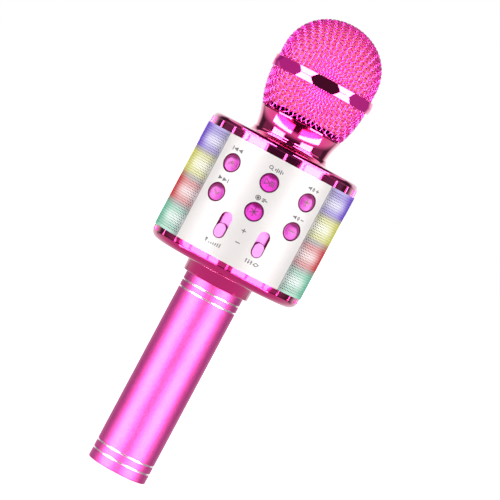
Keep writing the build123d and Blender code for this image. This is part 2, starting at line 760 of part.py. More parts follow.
# ================================================================ chassis
PLATE_R, PLATE_T = 35.8, 2.0
LOW_PLATE, HIGH_PLATE = 115.8, 169.6   # undersides of the two plates
FLOOR = LOW_PLATE + PLATE_T
WALL_H = HIGH_PLATE - FLOOR
POST_FOOT = FLOOR - 0.1                # small posts start just inside the lower plate
REAR_BACK_Z = 136.0                    # lower end of the rear circuit's back
SPEAKER_Z = 143.7                      # speaker axis
LIGHT_TURN = 59.0
LIGHT_TURNS = (LIGHT_TURN, -LIGHT_TURN, 180 - LIGHT_TURN, 180 + LIGHT_TURN)
# z, radius, height, mode of the cylinders at the cover screws
CHASSIS_CYLINDERS = (
    (FLOOR, POST_R, 6.2, Mode.ADD),               # posts for the bottom cover
    (115.0, PILOT_R, 8.2, Mode.SUBTRACT),
    (169.0, CLEARANCE_R, 4, Mode.SUBTRACT),
    (166.5, HEAD_SINK_R, 3.1, Mode.SUBTRACT),     # room in the speaker walls for upper heads
)
with BuildPart() as chassis:
    with BuildSketch(level(LOW_PLATE)):
        Circle(PLATE_R)
        Circle(13.5, mode=Mode.SUBTRACT)
        with Locations((0, 37.6)):
            Rectangle(46, 10, mode=Mode.SUBTRACT)
    extrude(amount=PLATE_T)
    with BuildSketch(level(HIGH_PLATE)):
        Circle(PLATE_R)
        Circle(9.0, mode=Mode.SUBTRACT)
    extrude(amount=PLATE_T)
    # curved backs of the two key circuits
    for z, middle in ((FLOOR, 0), (REAR_BACK_Z, 180)):
        with BuildSketch(level(z)):
            with BuildLine():
                sector(30.0, 31.6, middle, 41)
            make_face()
        extrude(amount=HIGH_PLATE - z)
    # speaker walls
    for side in (-1, 1):
        with BuildSketch(level(FLOOR)):
            with Locations((side * 22.45, 0)):
                Rectangle(1.9, 45)
        extrude(amount=WALL_H)
    with BuildSketch(Plane.YZ.offset(-30)):
        with Locations((0, SPEAKER_Z)):
            Circle(15.7)
    extrude(amount=60, mode=Mode.SUBTRACT)
    # rails for the main board
    with BuildSketch(level(FLOOR)):
        with Locations((1.65, -28.4), (-1.65, -28.4)):
            Rectangle(1.5, 4.4)
    extrude(amount=WALL_H)
    for z, radius, height, mode in CHASSIS_CYLINDERS:
        with BuildSketch(level(z)):
            with cover_screw_spots():
                Circle(radius)
        extrude(amount=height, mode=mode)
    # posts that carry the light strips
    for turn in LIGHT_TURNS:
        for z, height in ((POST_FOOT, 4.2), (165.4, 4.3)):
            with BuildSketch(radial_plane(turn, 24.5, z + height / 2)):
                Rectangle(3.0, height)
            extrude(amount=8.6)
    # posts under the socket board
    with BuildSketch(level(POST_FOOT)):
        with Locations((-14, 18), (14, 18)):
            Rectangle(3, 3)
    extrude(amount=4.65)
save(chassis, "chassis")

# ================================================================ boards
BOARD_T = 1.6          # main board, standing in the YZ plane
with BuildPart() as main_board:
    with BuildSketch(Plane.YZ.offset(-BOARD_T / 2)):
        with Locations((-10.75, 143.5)):
            RectangleRounded(37.5, 47, 1.0)
        with Locations((4, 163.5), (4, 123.5)):
            Circle(1.3, mode=Mode.SUBTRACT)
    extrude(amount=BOARD_T)
save(main_board, "main_board")

CHIP_X = BOARD_T / 2 + 0.02   # middle plane to the feet of the chips
# y, z, size along y, size along z
RIGHT_CHIPS = (
    (-15, 150, 8, 8),      # sound processor
    (-15, 136, 5, 6),      # memory
    (-4, 152, 3.2, 5),     # crystal
)
LEFT_CHIPS = (
    (-14, 138, 6, 9),      # amplifier
    (-8, 128, 4, 5),       # charger
)
with BuildPart() as board_chips:
    for x, chips, height in ((CHIP_X, RIGHT_CHIPS, 1.1), (-CHIP_X, LEFT_CHIPS, -1.2)):
        with BuildSketch(Plane.YZ.offset(x)):
            for y, z, width, length in chips:
                with Locations((y, z)):
                    Rectangle(width, length)
        extrude(amount=height)
    # two capacitors on the right face
    with BuildSketch(Plane.YZ.offset(CHIP_X)):
        with Locations((-22, 126), (-14, 126)):
            Circle(2.5)
    extrude(amount=5.4)
    # inductor on the left face
    with BuildSketch(Plane.YZ.offset(-CHIP_X)):
        with Locations((-20, 126)):
            RectangleRounded(6, 6, 1)
    extrude(amount=-3)
save(board_chips, "board_chips")

with BuildPart() as io_board:
    with BuildSketch(level(122.4)):
        with Locations((0, 23.85)):
            Rectangle(32.4, 17.7)
    extrude(amount=1.2)
save(io_board, "io_board")

# ================================================================ sockets
USB_TONGUE_AT = (0, PORT_Z + 0.9)
with BuildPart() as usb_socket:
    with BuildSketch(upright(19)):
        with Locations(USB_AT):
            RectangleRounded(13.1, 5.8, 0.35)
    extrude(amount=-15.9)
    # hollow round the tongue
    with BuildSketch(upright(MOUTH_Y)):
        with Locations(USB_AT):
            Rectangle(12.3, 5.0)
        with Locations(USB_TONGUE_AT):
            Rectangle(11.0, 1.9, mode=Mode.SUBTRACT)
    extrude(amount=13.5, mode=Mode.SUBTRACT)
    # the tongue ends short of the mouth
    with BuildSketch(upright(MOUTH_Y)):
        with Locations(USB_TONGUE_AT):
            Rectangle(11.4, 2.1)
    extrude(amount=1.6, mode=Mode.SUBTRACT)
save(usb_socket, "usb_socket")

with BuildPart() as charge_socket:
    with BuildSketch(upright(28)):
        with Locations(CHARGE_AT):
            RectangleRounded(7.6, 2.8, 0.7)
    extrude(amount=-6.9)
    with BuildSketch(upright(MOUTH_Y)):
        with Locations(CHARGE_AT):
            RectangleRounded(6.9, 2.1, 0.5)
            Rectangle(4.4, 0.7, mode=Mode.SUBTRACT)
    extrude(amount=5.5, mode=Mode.SUBTRACT)
save(charge_socket, "charge_socket")

with BuildPart() as card_socket:
    with BuildSketch(upright(20)):
        with Locations(CARD_AT):
            Rectangle(12.4, 1.8)
    extrude(amount=-14.7)
    with BuildSketch(upright(34.7)):
        with Locations(CARD_AT):
            Rectangle(11.4, 0.9)
    extrude(amount=13, mode=Mode.SUBTRACT)
save(card_socket, "card_socket")

with BuildPart() as aux_jack:
    # body, nose and bore
    with BuildSketch(upright(20)):
        with Locations(AUX_AT):
            Rectangle(6.0, 5.8)
    extrude(amount=-12.8)
    with BuildSketch(upright(32.7)):
        with Locations(AUX_AT):
            Circle(2.9)
    extrude(amount=-2.2)
    with BuildSketch(upright(MOUTH_Y)):
        with Locations(AUX_AT):
            Circle(1.85)
    extrude(amount=13.4, mode=Mode.SUBTRACT)
save(aux_jack, "aux_jack")

# ================================================================ speakers
# outlines are (distance from the middle plane x = 0, radius about the speaker axis)
SPEAKER_OUTLINES = {
    "basket": [
        (25.0, 18.0), (23.5, 18.0), (23.5, 15.5), (15.0, 10.2), (14.0, 10.2), (14.0, 6.0),
        (15.0, 6.0), (15.0, 8.9), (23.7, 14.1), (25.0, 14.1),
    ],
    "magnet": [
        (8.5, 0), (8.5, 9.6), (8.9, 10.0), (13.95, 10.0), (13.95, 4.6), (15.4, 4.6), (15.4, 0),
    ],
    "cone": [
        (25.05, 15.6), (25.4, 15.6), (25.4, 14.2), (26.0, 13.8), (26.1, 13.4), (25.9, 12.8),
        (25.2, 12.4), (24.4, 12.2), (18.1, 5.4), (19.3, 3.2), (19.7, 0), (19.3, 0),
        (18.9, 3.0), (17.7, 5.1), (16.0, 5.1), (16.0, 5.5), (17.6, 5.5), (24.1, 12.6),
        (25.0, 12.9), (25.55, 13.4), (25.05, 13.8),
    ],
}
SPEAKER_AXIS = Axis((0, 0, SPEAKER_Z), (1, 0, 0))
for word, side in (("left", -1), ("right", 1)):
    for piece, outline in SPEAKER_OUTLINES.items():
        points = [(side * x, SPEAKER_Z + r) for x, r in outline]
        save(turned(points, SPEAKER_AXIS), f"{word}_speaker_{piece}")

# ================================================================ lights
EMITTER_Z = (122.4, 136.1, 150.8, 163.8)
with BuildPart() as light_strips:
    for turn in LIGHT_TURNS:
        with BuildSketch(radial_plane(turn, 33.2, 143.7)):
            Rectangle(7.0, 50.8)
        extrude(amount=0.8)
save(light_strips, "light_strips")

with BuildPart() as light_emitters:
    for turn in LIGHT_TURNS:
        for z in EMITTER_Z:
            with BuildSketch(radial_plane(turn, 34.03, z)):
                Rectangle(5.0, 5.0)
            extrude(amount=1.6)
save(light_emitters, "light_emitters")


# ================================================================ leads
def lead(radius, bend, *points):
    """A round insulated wire along straight runs joined by bends."""
    with BuildPart() as wire:
        with BuildLine() as path:
            FilletPolyline(*points, radius=bend)
        with BuildSketch(Plane(origin=path.line @ 0, z_dir=path.line % 0)):
            Circle(radius)
        sweep()
    return wire


def bundle(leads):
    """Several leads as separate solids of one part."""
    with BuildPart() as wires:
        for wire in leads:
            add(wire.part)
    return wires


battery_leads = [
    # from the upper end of the cell
    lead(0.55, 2.0, (0, 0, 77.45), (0, 0, 90), (1.9, 3.2, 106), (1.9, 3.2, 129)),
    # from its lower end, up the channel of the sleeve
    lead(0.55, 2.0, (0, 10.8, 14.6), (0, 10.8, 80), (-1.9, 3.2, 104), (-1.9, 3.2, 129)),
]
save(bundle(battery_leads), "battery_leads")

# x of the right lead, y, z
SPEAKER_LEAD = ((15.5, 6.0, 129.0), (6.0, 6.0, 129.0), (1.85, 4.0, 134.0), (1.85, 2.6, 139.5))
speaker_leads = [
    lead(0.5, 1.5, *[(side * x, y, z) for x, y, z in SPEAKER_LEAD]) for side in (1, -1)
]
save(bundle(speaker_leads), "speaker_leads")

capsule_lead = lead(0.9, 3.0, (0, 0, 204.8), (0, 0, 177), (2.4, 0, 169), (2.4, 0, 158))
save(capsule_lead, "capsule_lead")
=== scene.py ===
# Hand-held karaoke microphone, standing upright along +Z with its foot at z = 0.
# The keys and faders face -Y (the front), +X is to the right seen from there, and the light
# grilles are on the two sides. From the bottom: tube, drum with the keys, woven grille head.
# Unless a name says mm, lengths are in metres. A "turn" is an angle about the long axis.
import json
import math

import bpy
import numpy as np
from mathutils import Matrix, Vector


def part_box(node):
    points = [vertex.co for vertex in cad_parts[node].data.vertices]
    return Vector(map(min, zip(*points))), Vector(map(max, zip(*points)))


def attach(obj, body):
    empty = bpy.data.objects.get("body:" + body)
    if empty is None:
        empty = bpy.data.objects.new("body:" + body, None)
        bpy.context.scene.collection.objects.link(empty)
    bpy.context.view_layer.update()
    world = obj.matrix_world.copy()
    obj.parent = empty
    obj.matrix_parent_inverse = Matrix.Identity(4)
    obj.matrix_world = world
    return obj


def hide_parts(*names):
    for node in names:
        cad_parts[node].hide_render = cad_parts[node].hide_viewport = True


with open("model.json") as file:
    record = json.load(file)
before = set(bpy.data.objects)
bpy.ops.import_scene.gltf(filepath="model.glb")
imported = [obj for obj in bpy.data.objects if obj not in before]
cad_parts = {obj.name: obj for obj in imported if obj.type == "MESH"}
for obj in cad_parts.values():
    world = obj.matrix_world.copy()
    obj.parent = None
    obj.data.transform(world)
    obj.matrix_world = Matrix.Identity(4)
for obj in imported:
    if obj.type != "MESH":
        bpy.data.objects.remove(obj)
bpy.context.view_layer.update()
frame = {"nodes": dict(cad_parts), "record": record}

# ------------------------------------------------------------------ shared sizes
MM = 0.001
DRUM_R = 0.040                        # outer radius of the drum
KEY_TURN = 30.5                       # degrees from the middle keys to the side ones
KEY_HIGH_MM, KEY_LOW_MM = 158.6, 143.1    # heights of the two rows of keys
FADER_TURN = 14.7                     # degrees from the front to each fader
HEAD_TURN = 3.3                       # degrees the grille head is turned on the drum
BANDS = (0.0053, 0.0096, 0.0942, 0.0979)  # heights of the bare bands on the tube
LIGHT_LOW, LIGHT_HIGH = (corner.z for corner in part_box("left_light_grille"))
UPPER_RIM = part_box("upper_grille")[0].z
UPPER_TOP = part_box("upper_grille")[1].z
LOWER_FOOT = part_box("lower_grille")[0].z
LOWER_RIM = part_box("lower_grille")[1].z


# ------------------------------------------------------------------ shader helpers
class Nodes:
    """Short ways to add and join nodes in a node tree."""

    def __init__(self, tree):
        self.tree = tree
        tree.nodes.clear()

    def link(self, source, socket):
        self.tree.links.new(source, socket)

    def node(self, kind, **values):
        made = self.tree.nodes.new(kind)
        for key, value in values.items():
            setattr(made, key, value)
        return made

    def feed(self, socket, value):
        """Link an output to a socket, or set the socket's value; colours are three numbers."""
        if isinstance(value, bpy.types.NodeSocket):
            self.link(value, socket)
        elif socket.type == "RGBA":
            socket.default_value = (*value, 1)
        else:
            socket.default_value = value

    def split(self, vector):
        made = self.node("ShaderNodeSeparateXYZ")
        self.link(vector, made.inputs[0])
        return tuple(made.outputs)

    def remap(self, value, span, to=(0, 1), smooth=False):
        """Carry the range span over to the range to, clamped."""
        made = self.node("ShaderNodeMapRange")
        if smooth:
            made.interpolation_type = "SMOOTHSTEP"
        for socket, number in zip(made.inputs, (value, *span, *to)):
            self.feed(socket, number)
        return made.outputs[0]


class Graph(Nodes):
    """A material being built round a Principled shader."""

    SOCKETS = {
        "color": "Base Color", "metal": "Metallic", "rough": "Roughness",
        "coat": "Coat Weight", "coat_rough": "Coat Roughness", "coat_ior": "Coat IOR",
        "emit": "Emission Color", "emit_power": "Emission Strength",
        "spec": "Specular IOR Level", "ior": "IOR", "trans": "Transmission Weight",
        "sheen": "Sheen Weight", "sub": "Subsurface Weight", "sub_scale": "Subsurface Scale",
        "sub_radius": "Subsurface Radius", "normal": "Normal", "coat_normal": "Coat Normal",
    }

    def __init__(self, name):
        self.mat = bpy.data.materials.new(name)
        self.mat.use_nodes = True
        super().__init__(self.mat.node_tree)
        output = self.node("ShaderNodeOutputMaterial")
        self.bsdf = self.node("ShaderNodeBsdfPrincipled")
        self.link(self.bsdf.outputs[0], output.inputs[0])
        self.pos = self.node("ShaderNodeTexCoord").outputs["Object"]

    def set(self, **values):
        for key, value in values.items():
            self.feed(self.bsdf.inputs[self.SOCKETS[key]], value)

    def math(self, operation, a, b=0.0, c=0.0):
        made = self.node("ShaderNodeMath", operation=operation)
        for socket, value in zip(made.inputs, (a, b, c)):
            self.feed(socket, value)
        return made.outputs[0]

    def times(self, a, b):
        return self.math("MULTIPLY", a, b)

    def invert(self, value):
        return self.math("SUBTRACT", 1.0, value)

    def length(self, a, b):
        """Length of the flat vector (a, b)."""
        squares = (self.math("POWER", a, 2.0), self.math("POWER", b, 2.0))
        return self.math("SQRT", self.math("ADD", *squares))

    def fold(self, operation, values):
        """Join several values with one operation, from the first to the last."""
        result = values[0]
        for value in values[1:]:
            result = self.math(operation, result, value)
        return result

    def front_turn(self, x, y):
        """Angle round the long axis from the front, positive to the right."""
        return self.math("ARCTAN2", x, self.times(y, -1.0))

    def vector(self, operation, *values, scale=None):
        made = self.node("ShaderNodeVectorMath", operation=operation)
        for socket, value in zip(made.inputs, values):
            self.feed(socket, value)
        if scale is not None:
            self.feed(made.inputs["Scale"], scale)
        return made.outputs["Value" if operation == "DOT_PRODUCT" else "Vector"]

    def outward(self):
        """Cosine between the face and the way straight out from the axis, and the face normal."""
        unit = self.vector("NORMALIZE", self.vector("MULTIPLY", self.pos, (1, 1, 0)))
        normal = self.node("ShaderNodeTexCoord").outputs["Normal"]
        return self.vector("DOT_PRODUCT", unit, normal), normal

    def noise(self, scale, detail=3.0, rough=0.5, stretch=None):
        coord = self.pos
        if stretch:
            mapping = self.node("ShaderNodeMapping")
            mapping.inputs["Scale"].default_value = stretch
            self.link(coord, mapping.inputs["Vector"])
            coord = mapping.outputs[0]
        made = self.node("ShaderNodeTexNoise")
        made.inputs["Scale"].default_value = scale
        made.inputs["Detail"].default_value = detail
        made.inputs["Roughness"].default_value = rough
        self.link(coord, made.inputs["Vector"])
        return made.outputs[0]

    def voronoi(self, scale, **values):
        made = self.node("ShaderNodeTexVoronoi", **values)
        made.inputs["Scale"].default_value = scale
        self.link(self.pos, made.inputs["Vector"])
        return made.outputs["Distance"]

    def ramp(self, factor, stops):
        """Eased colour ramp of (position, colour) stops."""
        made = self.node("ShaderNodeValToRGB")
        made.color_ramp.interpolation = "EASE"
        elements = made.color_ramp.elements
        while len(elements) > 1:
            elements.remove(elements[0])
        elements[0].position = stops[0][0]
        elements[0].color = (*stops[0][1], 1)
        for position, color in stops[1:]:
            elements.new(position).color = (*color, 1)
        self.link(factor, made.inputs[0])
        return made.outputs[0]

    def mix(self, factor, first, second):
        made = self.node("ShaderNodeMix", data_type="RGBA")
        for place, value in ((0, factor), (6, first), (7, second)):
            self.feed(made.inputs[place], value)
        return made.outputs[2]

    def vary(self, pattern, first, second, span=(0.35, 0.7), most=1):
        """Go from the first colour towards the second as the pattern crosses the span."""
        return self.mix(self.remap(pattern, span, to=(0, most)), first, second)

    def bump(self, height, strength, distance):
        made = self.node("ShaderNodeBump")
        made.inputs["Strength"].default_value = strength
        made.inputs["Distance"].default_value = distance
        self.link(height, made.inputs["Height"])
        self.set(normal=made.outputs[0])
        return made.outputs[0]


def srgb(*values):
    """Linear colour from 0-255 display values."""
    return tuple(v / 255 / 12.92 if v <= 10 else ((v / 255 + 0.055) / 1.055) ** 2.4
                 for v in values)


def shaded(color, factor):
    return tuple(c * factor for c in color)


# ------------------------------------------------------------------ materials of head and tube
def pink_chrome(name, base=(0.80, 0.020, 0.235), rough=0.05, coat=1.0, cone=False, flats=False):
    g = Graph(name)
    smudge = g.noise(scale=60, detail=4, rough=0.6)
    fine = g.noise(scale=900, detail=2)
    tint = g.vary(smudge, base, shaded(base, 0.88))
    # painted shade: the spigot inside the grille collar is made near black, dull and not metallic,
    # so the openings above the collar stay dark
    x, y, z = g.split(g.pos)
    radius = g.length(x, y)
    bare = g.times(g.remap(z, span=(0.19104, 0.19110)),
                   g.remap(radius, span=(0.0210, 0.0211), to=(1, 0)))
    plated = g.invert(bare)
    tint = g.mix(bare, tint, (0.006, 0.005, 0.009))
    extra_rough = g.math("ADD", g.times(fine, 0.02), g.times(bare, 0.5))
    smudged = g.remap(smudge, span=(0.3, 0.75), to=(rough, rough + 0.05))
    g.set(color=tint, metal=plated, rough=g.math("ADD", smudged, extra_rough),
          coat=g.times(plated, coat), coat_rough=0.03, coat_ior=1.5, spec=g.times(plated, 0.5))
    if flats:
        # painted reflection: the flats to the left and right of the front are given a pink emission,
        # standing in for the glow of the pink grilles
        normal = g.node("ShaderNodeNewGeometry").outputs["Normal"]
        facing_x, facing_y, _ = g.split(normal)
        glow = g.times(g.remap(g.math("ABSOLUTE", facing_x), span=(0.50, 0.56)),
                       g.remap(facing_y, span=(0.1, 0.0)))
        g.set(emit=(0.62, 0.004, 0.34), emit_power=g.times(glow, 0.42))
    # moulded plastic under the plating is never quite flat
    wave = g.bump(g.noise(scale=45, detail=2, rough=0.4), strength=0.12, distance=0.0004)
    if cone:
        # the collar below the drum is a shallow cone, steepest at its top
        tilt = g.node("ShaderNodeCombineXYZ")
        g.link(g.remap(z, span=(0.1022, 0.1060), to=(-0.26, -0.32)), tilt.inputs[2])
        collar = g.times(g.remap(z, span=(0.1115, 0.1105)),
                         g.remap(radius, span=(0.0195, 0.0205), to=(1, 0)))
        tilted = g.vector("ADD", wave, g.vector("SCALE", tilt.outputs[0], scale=collar))
        unit = g.vector("NORMALIZE", tilted)
        g.set(normal=unit, coat_normal=unit)
    else:
        g.set(coat_normal=wave)
    return g.mat


def satin_tube(name):
    g = Graph(name)
    grain = g.noise(scale=1.0, rough=0.6, stretch=(1600, 1600, 900))
    broad = g.noise(scale=55)
    base = g.vary(grain, (0.50, 0.042, 0.235), (0.59, 0.074, 0.32), span=(0.3, 0.7))
    base = g.vary(broad, base, (0.42, 0.030, 0.19), most=0.3)
    # the turned bands are bare metal
    z = g.split(g.pos)[2]
    bare = g.fold("MAXIMUM", [
        g.remap(g.math("ABSOLUTE", g.math("SUBTRACT", z, height)), span=(0.00038, 0.00030))
        for height in BANDS
    ])
    base = g.mix(bare, base, (0.93, 0.90, 0.92))
    rough = g.mix(bare, (0.42, 0.42, 0.42), (0.16, 0.16, 0.16))
    grain_rough = g.times(g.math("SUBTRACT", grain, 0.5), 0.12)
    g.set(color=base, metal=0.9, rough=g.math("ADD", rough, grain_rough),
          coat=0.05, coat_rough=0.35)
    g.bump(grain, strength=0.22, distance=0.00008)
    return g.mat


def wire_metal(name):
    g = Graph(name)
    grain = g.noise(scale=700, rough=0.6)
    broad = g.noise(scale=90)
    base = g.vary(grain, (0.50, 0.006, 0.25), (0.60, 0.016, 0.32))
    base = g.vary(broad, base, (0.40, 0.004, 0.20), span=(0.4, 0.75), most=0.35)
    # painted glow: a faint pink emission lifts the shaded parts of the wires
    g.set(color=base, metal=1.0, rough=g.remap(grain, span=(0.3, 0.7), to=(0.2, 0.3)),
          coat=1.0, coat_rough=0.10, emit=(0.50, 0.0, 0.27), emit_power=0.26)
    g.bump(grain, strength=0.2, distance=0.00006)
    return g.mat


def foam(name):
    g = Graph(name)
    cells = g.voronoi(scale=1500)
    grain = g.noise(scale=420, detail=4, rough=0.6)
    base = g.vary(cells, (1.0, 0.26, 0.36), (0.72, 0.09, 0.19), span=(0.15, 0.75))
    base = g.vary(grain, base, (1.0, 0.36, 0.46), most=0.5)
    # painted glow: a salmon emission lifts the shade of the foam, standing in for light that comes
    # back out of the open foam
    glow = g.vary(cells, (1.0, 0.24, 0.34), (0.80, 0.10, 0.20), span=(0.15, 0.75))
    g.set(color=base, rough=0.95, sheen=0.4, sub=0.15, sub_scale=0.002,
          sub_radius=(1.0, 0.4, 0.4), spec=0.1, emit=glow, emit_power=0.46)
    g.bump(cells, strength=0.7, distance=0.0005)
    return g.mat


# ------------------------------------------------------------------ materials of the drum
def panel(name):
    g = Graph(name)
    grain = g.noise(scale=1100, rough=0.55)
    broad = g.noise(scale=28)
    base = g.vary(broad, srgb(236, 231, 230), srgb(231, 226, 224), span=(0.3, 0.7))
    base = g.vary(grain, base, srgb(223, 217, 215), span=(0.4, 0.75), most=0.3)
    # painted shade and reflection: the walls of the key holes and slots are painted dark maroon,
    # standing in for their shade and the pink of the parts inside them
    facing, _ = g.outward()
    x, _, z = g.split(g.pos)
    off_middle = g.math("ABSOLUTE", g.math("SUBTRACT", z, 0.1432))
    wall = g.remap(facing, span=(0.6, 0.8), to=(1, 0))
    wall = g.times(wall, g.remap(g.math("ABSOLUTE", x), span=(0.0262, 0.0266), to=(1, 0)))
    wall = g.times(wall, g.remap(off_middle, span=(0.0272, 0.0275), to=(1, 0)))
    base = g.mix(wall, base, srgb(150, 2, 84))
    g.set(color=base, rough=g.remap(grain, span=(0.3, 0.7), to=(0.36, 0.5)),
          spec=g.remap(wall, span=(0, 1), to=(0.35, 0.0)))
    g.bump(grain, strength=0.25, distance=0.00003)
    return g.mat


def key_metal(name):
    g = Graph(name)
    grain = g.noise(scale=900, rough=0.55)
    broad = g.noise(scale=140, detail=2)
    base = g.vary(broad, srgb(238, 74, 216), srgb(224, 58, 198))
    # painted shade and reflection: dark maroon round the rolled edge, in the upper part of the dish,
    # round the rim and in a crescent
    facing, normal = g.outward()
    edge = g.remap(facing, span=(0.955, 0.990), to=(1, 0), smooth=True)
    painted_dish_shade = g.remap(g.split(normal)[2], span=(-0.07, -0.14), to=(0, 0.9), smooth=True)
    x, y, z = g.split(g.pos)
    turn = g.front_turn(x, y)
    from_key, from_slipped = [], []
    for angle in (-KEY_TURN, 0.0, KEY_TURN):
        for height in (KEY_HIGH_MM * MM, KEY_LOW_MM * MM):
            across = g.times(g.math("SUBTRACT", turn, math.radians(angle)), DRUM_R)
            above = g.math("SUBTRACT", z, height)
            from_key.append(g.length(across, above))
            # the painted crescent of shade is the space between the rim and a circle set a little
            # lower and inward
            slip = 0.0007 * (1 if angle < 0 else -1 if angle > 0 else 0)
            drop = 0.0009 if angle else 0.0006
            from_slipped.append(g.length(g.math("SUBTRACT", across, slip),
                                         g.math("ADD", above, drop)))
    near = g.fold("MINIMUM", from_key)
    near_slipped = g.fold("MINIMUM", from_slipped)
    front = g.remap(y, span=(-0.005, -0.010))
    rim = g.times(g.remap(near, span=(0.00375, 0.00425), smooth=True), front)
    crescent = g.remap(near_slipped, span=(0.0036, 0.0043), to=(0, 0.85), smooth=True)
    crescent = g.times(crescent, front)
    dark = g.math("MAXIMUM", g.math("MAXIMUM", edge, painted_dish_shade), g.math("MAXIMUM", rim, crescent))
    base = g.mix(dark, base, srgb(120, 0, 70))
    # painted light: emission makes the middle keys, which face the camera, a little brighter
    glow = g.remap(g.math("ABSOLUTE", turn), span=(0.20, 0.24), to=(0.24, 0.04))
    glow = g.times(glow, g.invert(dark))
    g.set(color=base, metal=0.0, rough=g.remap(grain, span=(0.3, 0.7), to=(0.18, 0.3)),
          spec=g.remap(dark, span=(0, 1), to=(0.22, 0.02)),
          emit=srgb(240, 64, 220), emit_power=g.times(glow, front))
    g.bump(grain, strength=0.15, distance=0.00004)
    return g.mat


def knob_plastic(name):
    g = Graph(name)
    grain = g.noise(scale=800, rough=0.55)
    broad = g.noise(scale=120, detail=2)
    painted_shade_color = srgb(134, 4, 86)
    base = g.vary(broad, srgb(250, 140, 246), srgb(242, 122, 232))
    # painted shade: the rounded edge of the knob is painted dark maroon
    facing, _ = g.outward()
    edge = g.remap(facing, span=(0.90, 0.988), to=(1, 0), smooth=True)
    base = g.mix(edge, base, painted_shade_color)
    x, y, z = g.split(g.pos)
    radius = g.length(x, y)
    # shaded outline of the knob, and of the plate along both sides of its slot
    turn = g.front_turn(x, y)
    fader = math.radians(FADER_TURN)
    across = g.math("MINIMUM", g.math("ABSOLUTE", g.math("SUBTRACT", turn, fader)),
                    g.math("ABSOLUTE", g.math("ADD", turn, fader)))
    across = g.times(across, DRUM_R)
    off_knob = g.math("ABSOLUTE", g.math("SUBTRACT", z, 0.1278))
    along = g.math("MAXIMUM", g.math("SUBTRACT", off_knob, 0.001), 0.0)
    distance = g.length(across, along)
    top = g.remap(radius, span=(0.0384, 0.0388))
    outline = g.times(g.remap(distance, span=(0.00235, 0.00265), smooth=True), top)
    rails = g.times(g.remap(across, span=(0.00245, 0.00275), smooth=True), g.invert(top))
    shade = g.times(g.math("MAXIMUM", outline, rails),
                    g.remap(y, span=(-0.005, -0.010), to=(0, 0.95)))
    base = g.mix(shade, base, painted_shade_color)
    edge = g.math("MAXIMUM", edge, shade)
    # painted glow: emission brightens the thin cover plate seen in the slot
    deep = g.times(g.remap(radius, span=(0.0384, 0.0388), to=(0.42, 0)), g.invert(edge))
    g.set(color=base, rough=g.remap(grain, span=(0.3, 0.7), to=(0.24, 0.38)),
          spec=g.remap(edge, span=(0, 1), to=(0.35, 0.02)),
          emit=srgb(240, 116, 226), emit_power=deep)
    g.bump(grain, strength=0.2, distance=0.00004)
    return g.mat


def moulded(name, color, rough=0.5, metal=0.0, scale=900, strength=0.25, coat=0.0):
    """Plastic, rubber, card or bare metal with grain, tone variation and paler worn patches."""
    g = Graph(name)
    grain = g.noise(scale=scale, detail=4, rough=0.6)
    broad = g.noise(scale=70)
    light = tuple(min(1.0, c * 1.08 + 0.012) for c in color)
    base = g.vary(grain, color, shaded(color, 0.82), span=(0.35, 0.68))
    base = g.vary(broad, base, light, span=(0.45, 0.8), most=0.6)
    rough_range = (max(0.05, rough - 0.08), min(1.0, rough + 0.08))
    g.set(color=base, metal=metal, rough=g.remap(grain, span=(0.3, 0.7), to=rough_range),
          coat=coat, coat_rough=0.1)
    g.bump(grain, strength=strength, distance=0.00006)
    return g.mat


def board(name, color, trace):
    """Circuit board: solder mask with faint tracks and pads."""
    g = Graph(name)
    cells = g.voronoi(scale=330, feature="DISTANCE_TO_EDGE", distance="MANHATTAN")
    lines = g.remap(cells, span=(0.03, 0.06), to=(1, 0))
    base = g.vary(g.noise(scale=500), color, shaded(color, 0.75), most=0.5)
    g.set(color=g.mix(lines, base, trace), rough=0.32, coat=0.3, coat_rough=0.15)
    g.bump(lines, strength=0.2, distance=0.00003)
    return g.mat


# ------------------------------------------------------------------ materials lit by the lamps
# Middle height and colour of each lamp zone: mint, red, yellow, violet
LAMP_ZONES = (
    (0.1224, srgb(122, 200, 170)),
    (0.1361, srgb(216, 70, 74)),
    (0.1508, srgb(220, 218, 110)),
    (0.1638, srgb(124, 84, 214)),
)


def lamp_stops():
    """Ramp stops over the height of the light grilles for the saturated and the pale glow."""
    def share(height):
        return (height - LIGHT_LOW) / (LIGHT_HIGH - LIGHT_LOW)

    full, pale = [], []
    for height, color in LAMP_ZONES:
        light = tuple(0.70 + 0.30 * c for c in color)
        half = tuple(0.34 + 0.56 * c for c in color)
        full += [(share(height - 0.0045), color), (share(height + 0.0045), color)]
        pale += [(share(height - 0.0048), half), (share(height), light),
                 (share(height + 0.0048), half)]
    for (low, below), (high, above) in zip(LAMP_ZONES, LAMP_ZONES[1:]):
        middle = share((low + high) / 2)
        full.append((middle, tuple(0.42 * a + 0.20 * b + 0.12 for a, b in zip(below, above))))
        pale.append((middle, srgb(190, 184, 182)))
    return sorted(full), sorted(pale)


FULL_STOPS, PALE_STOPS = lamp_stops()


def lamp_glow(g):
    """Saturated and pale glow by height, and degrees round from front or back to the side."""
    x, y, z = g.split(g.pos)
    height = g.remap(z, span=(LIGHT_LOW, LIGHT_HIGH))
    full, pale = g.ramp(height, FULL_STOPS), g.ramp(height, PALE_STOPS)
    turn = g.math("ARCTAN2", g.math("ABSOLUTE", x), g.math("ABSOLUTE", y))
    return full, pale, g.math("DEGREES", turn)


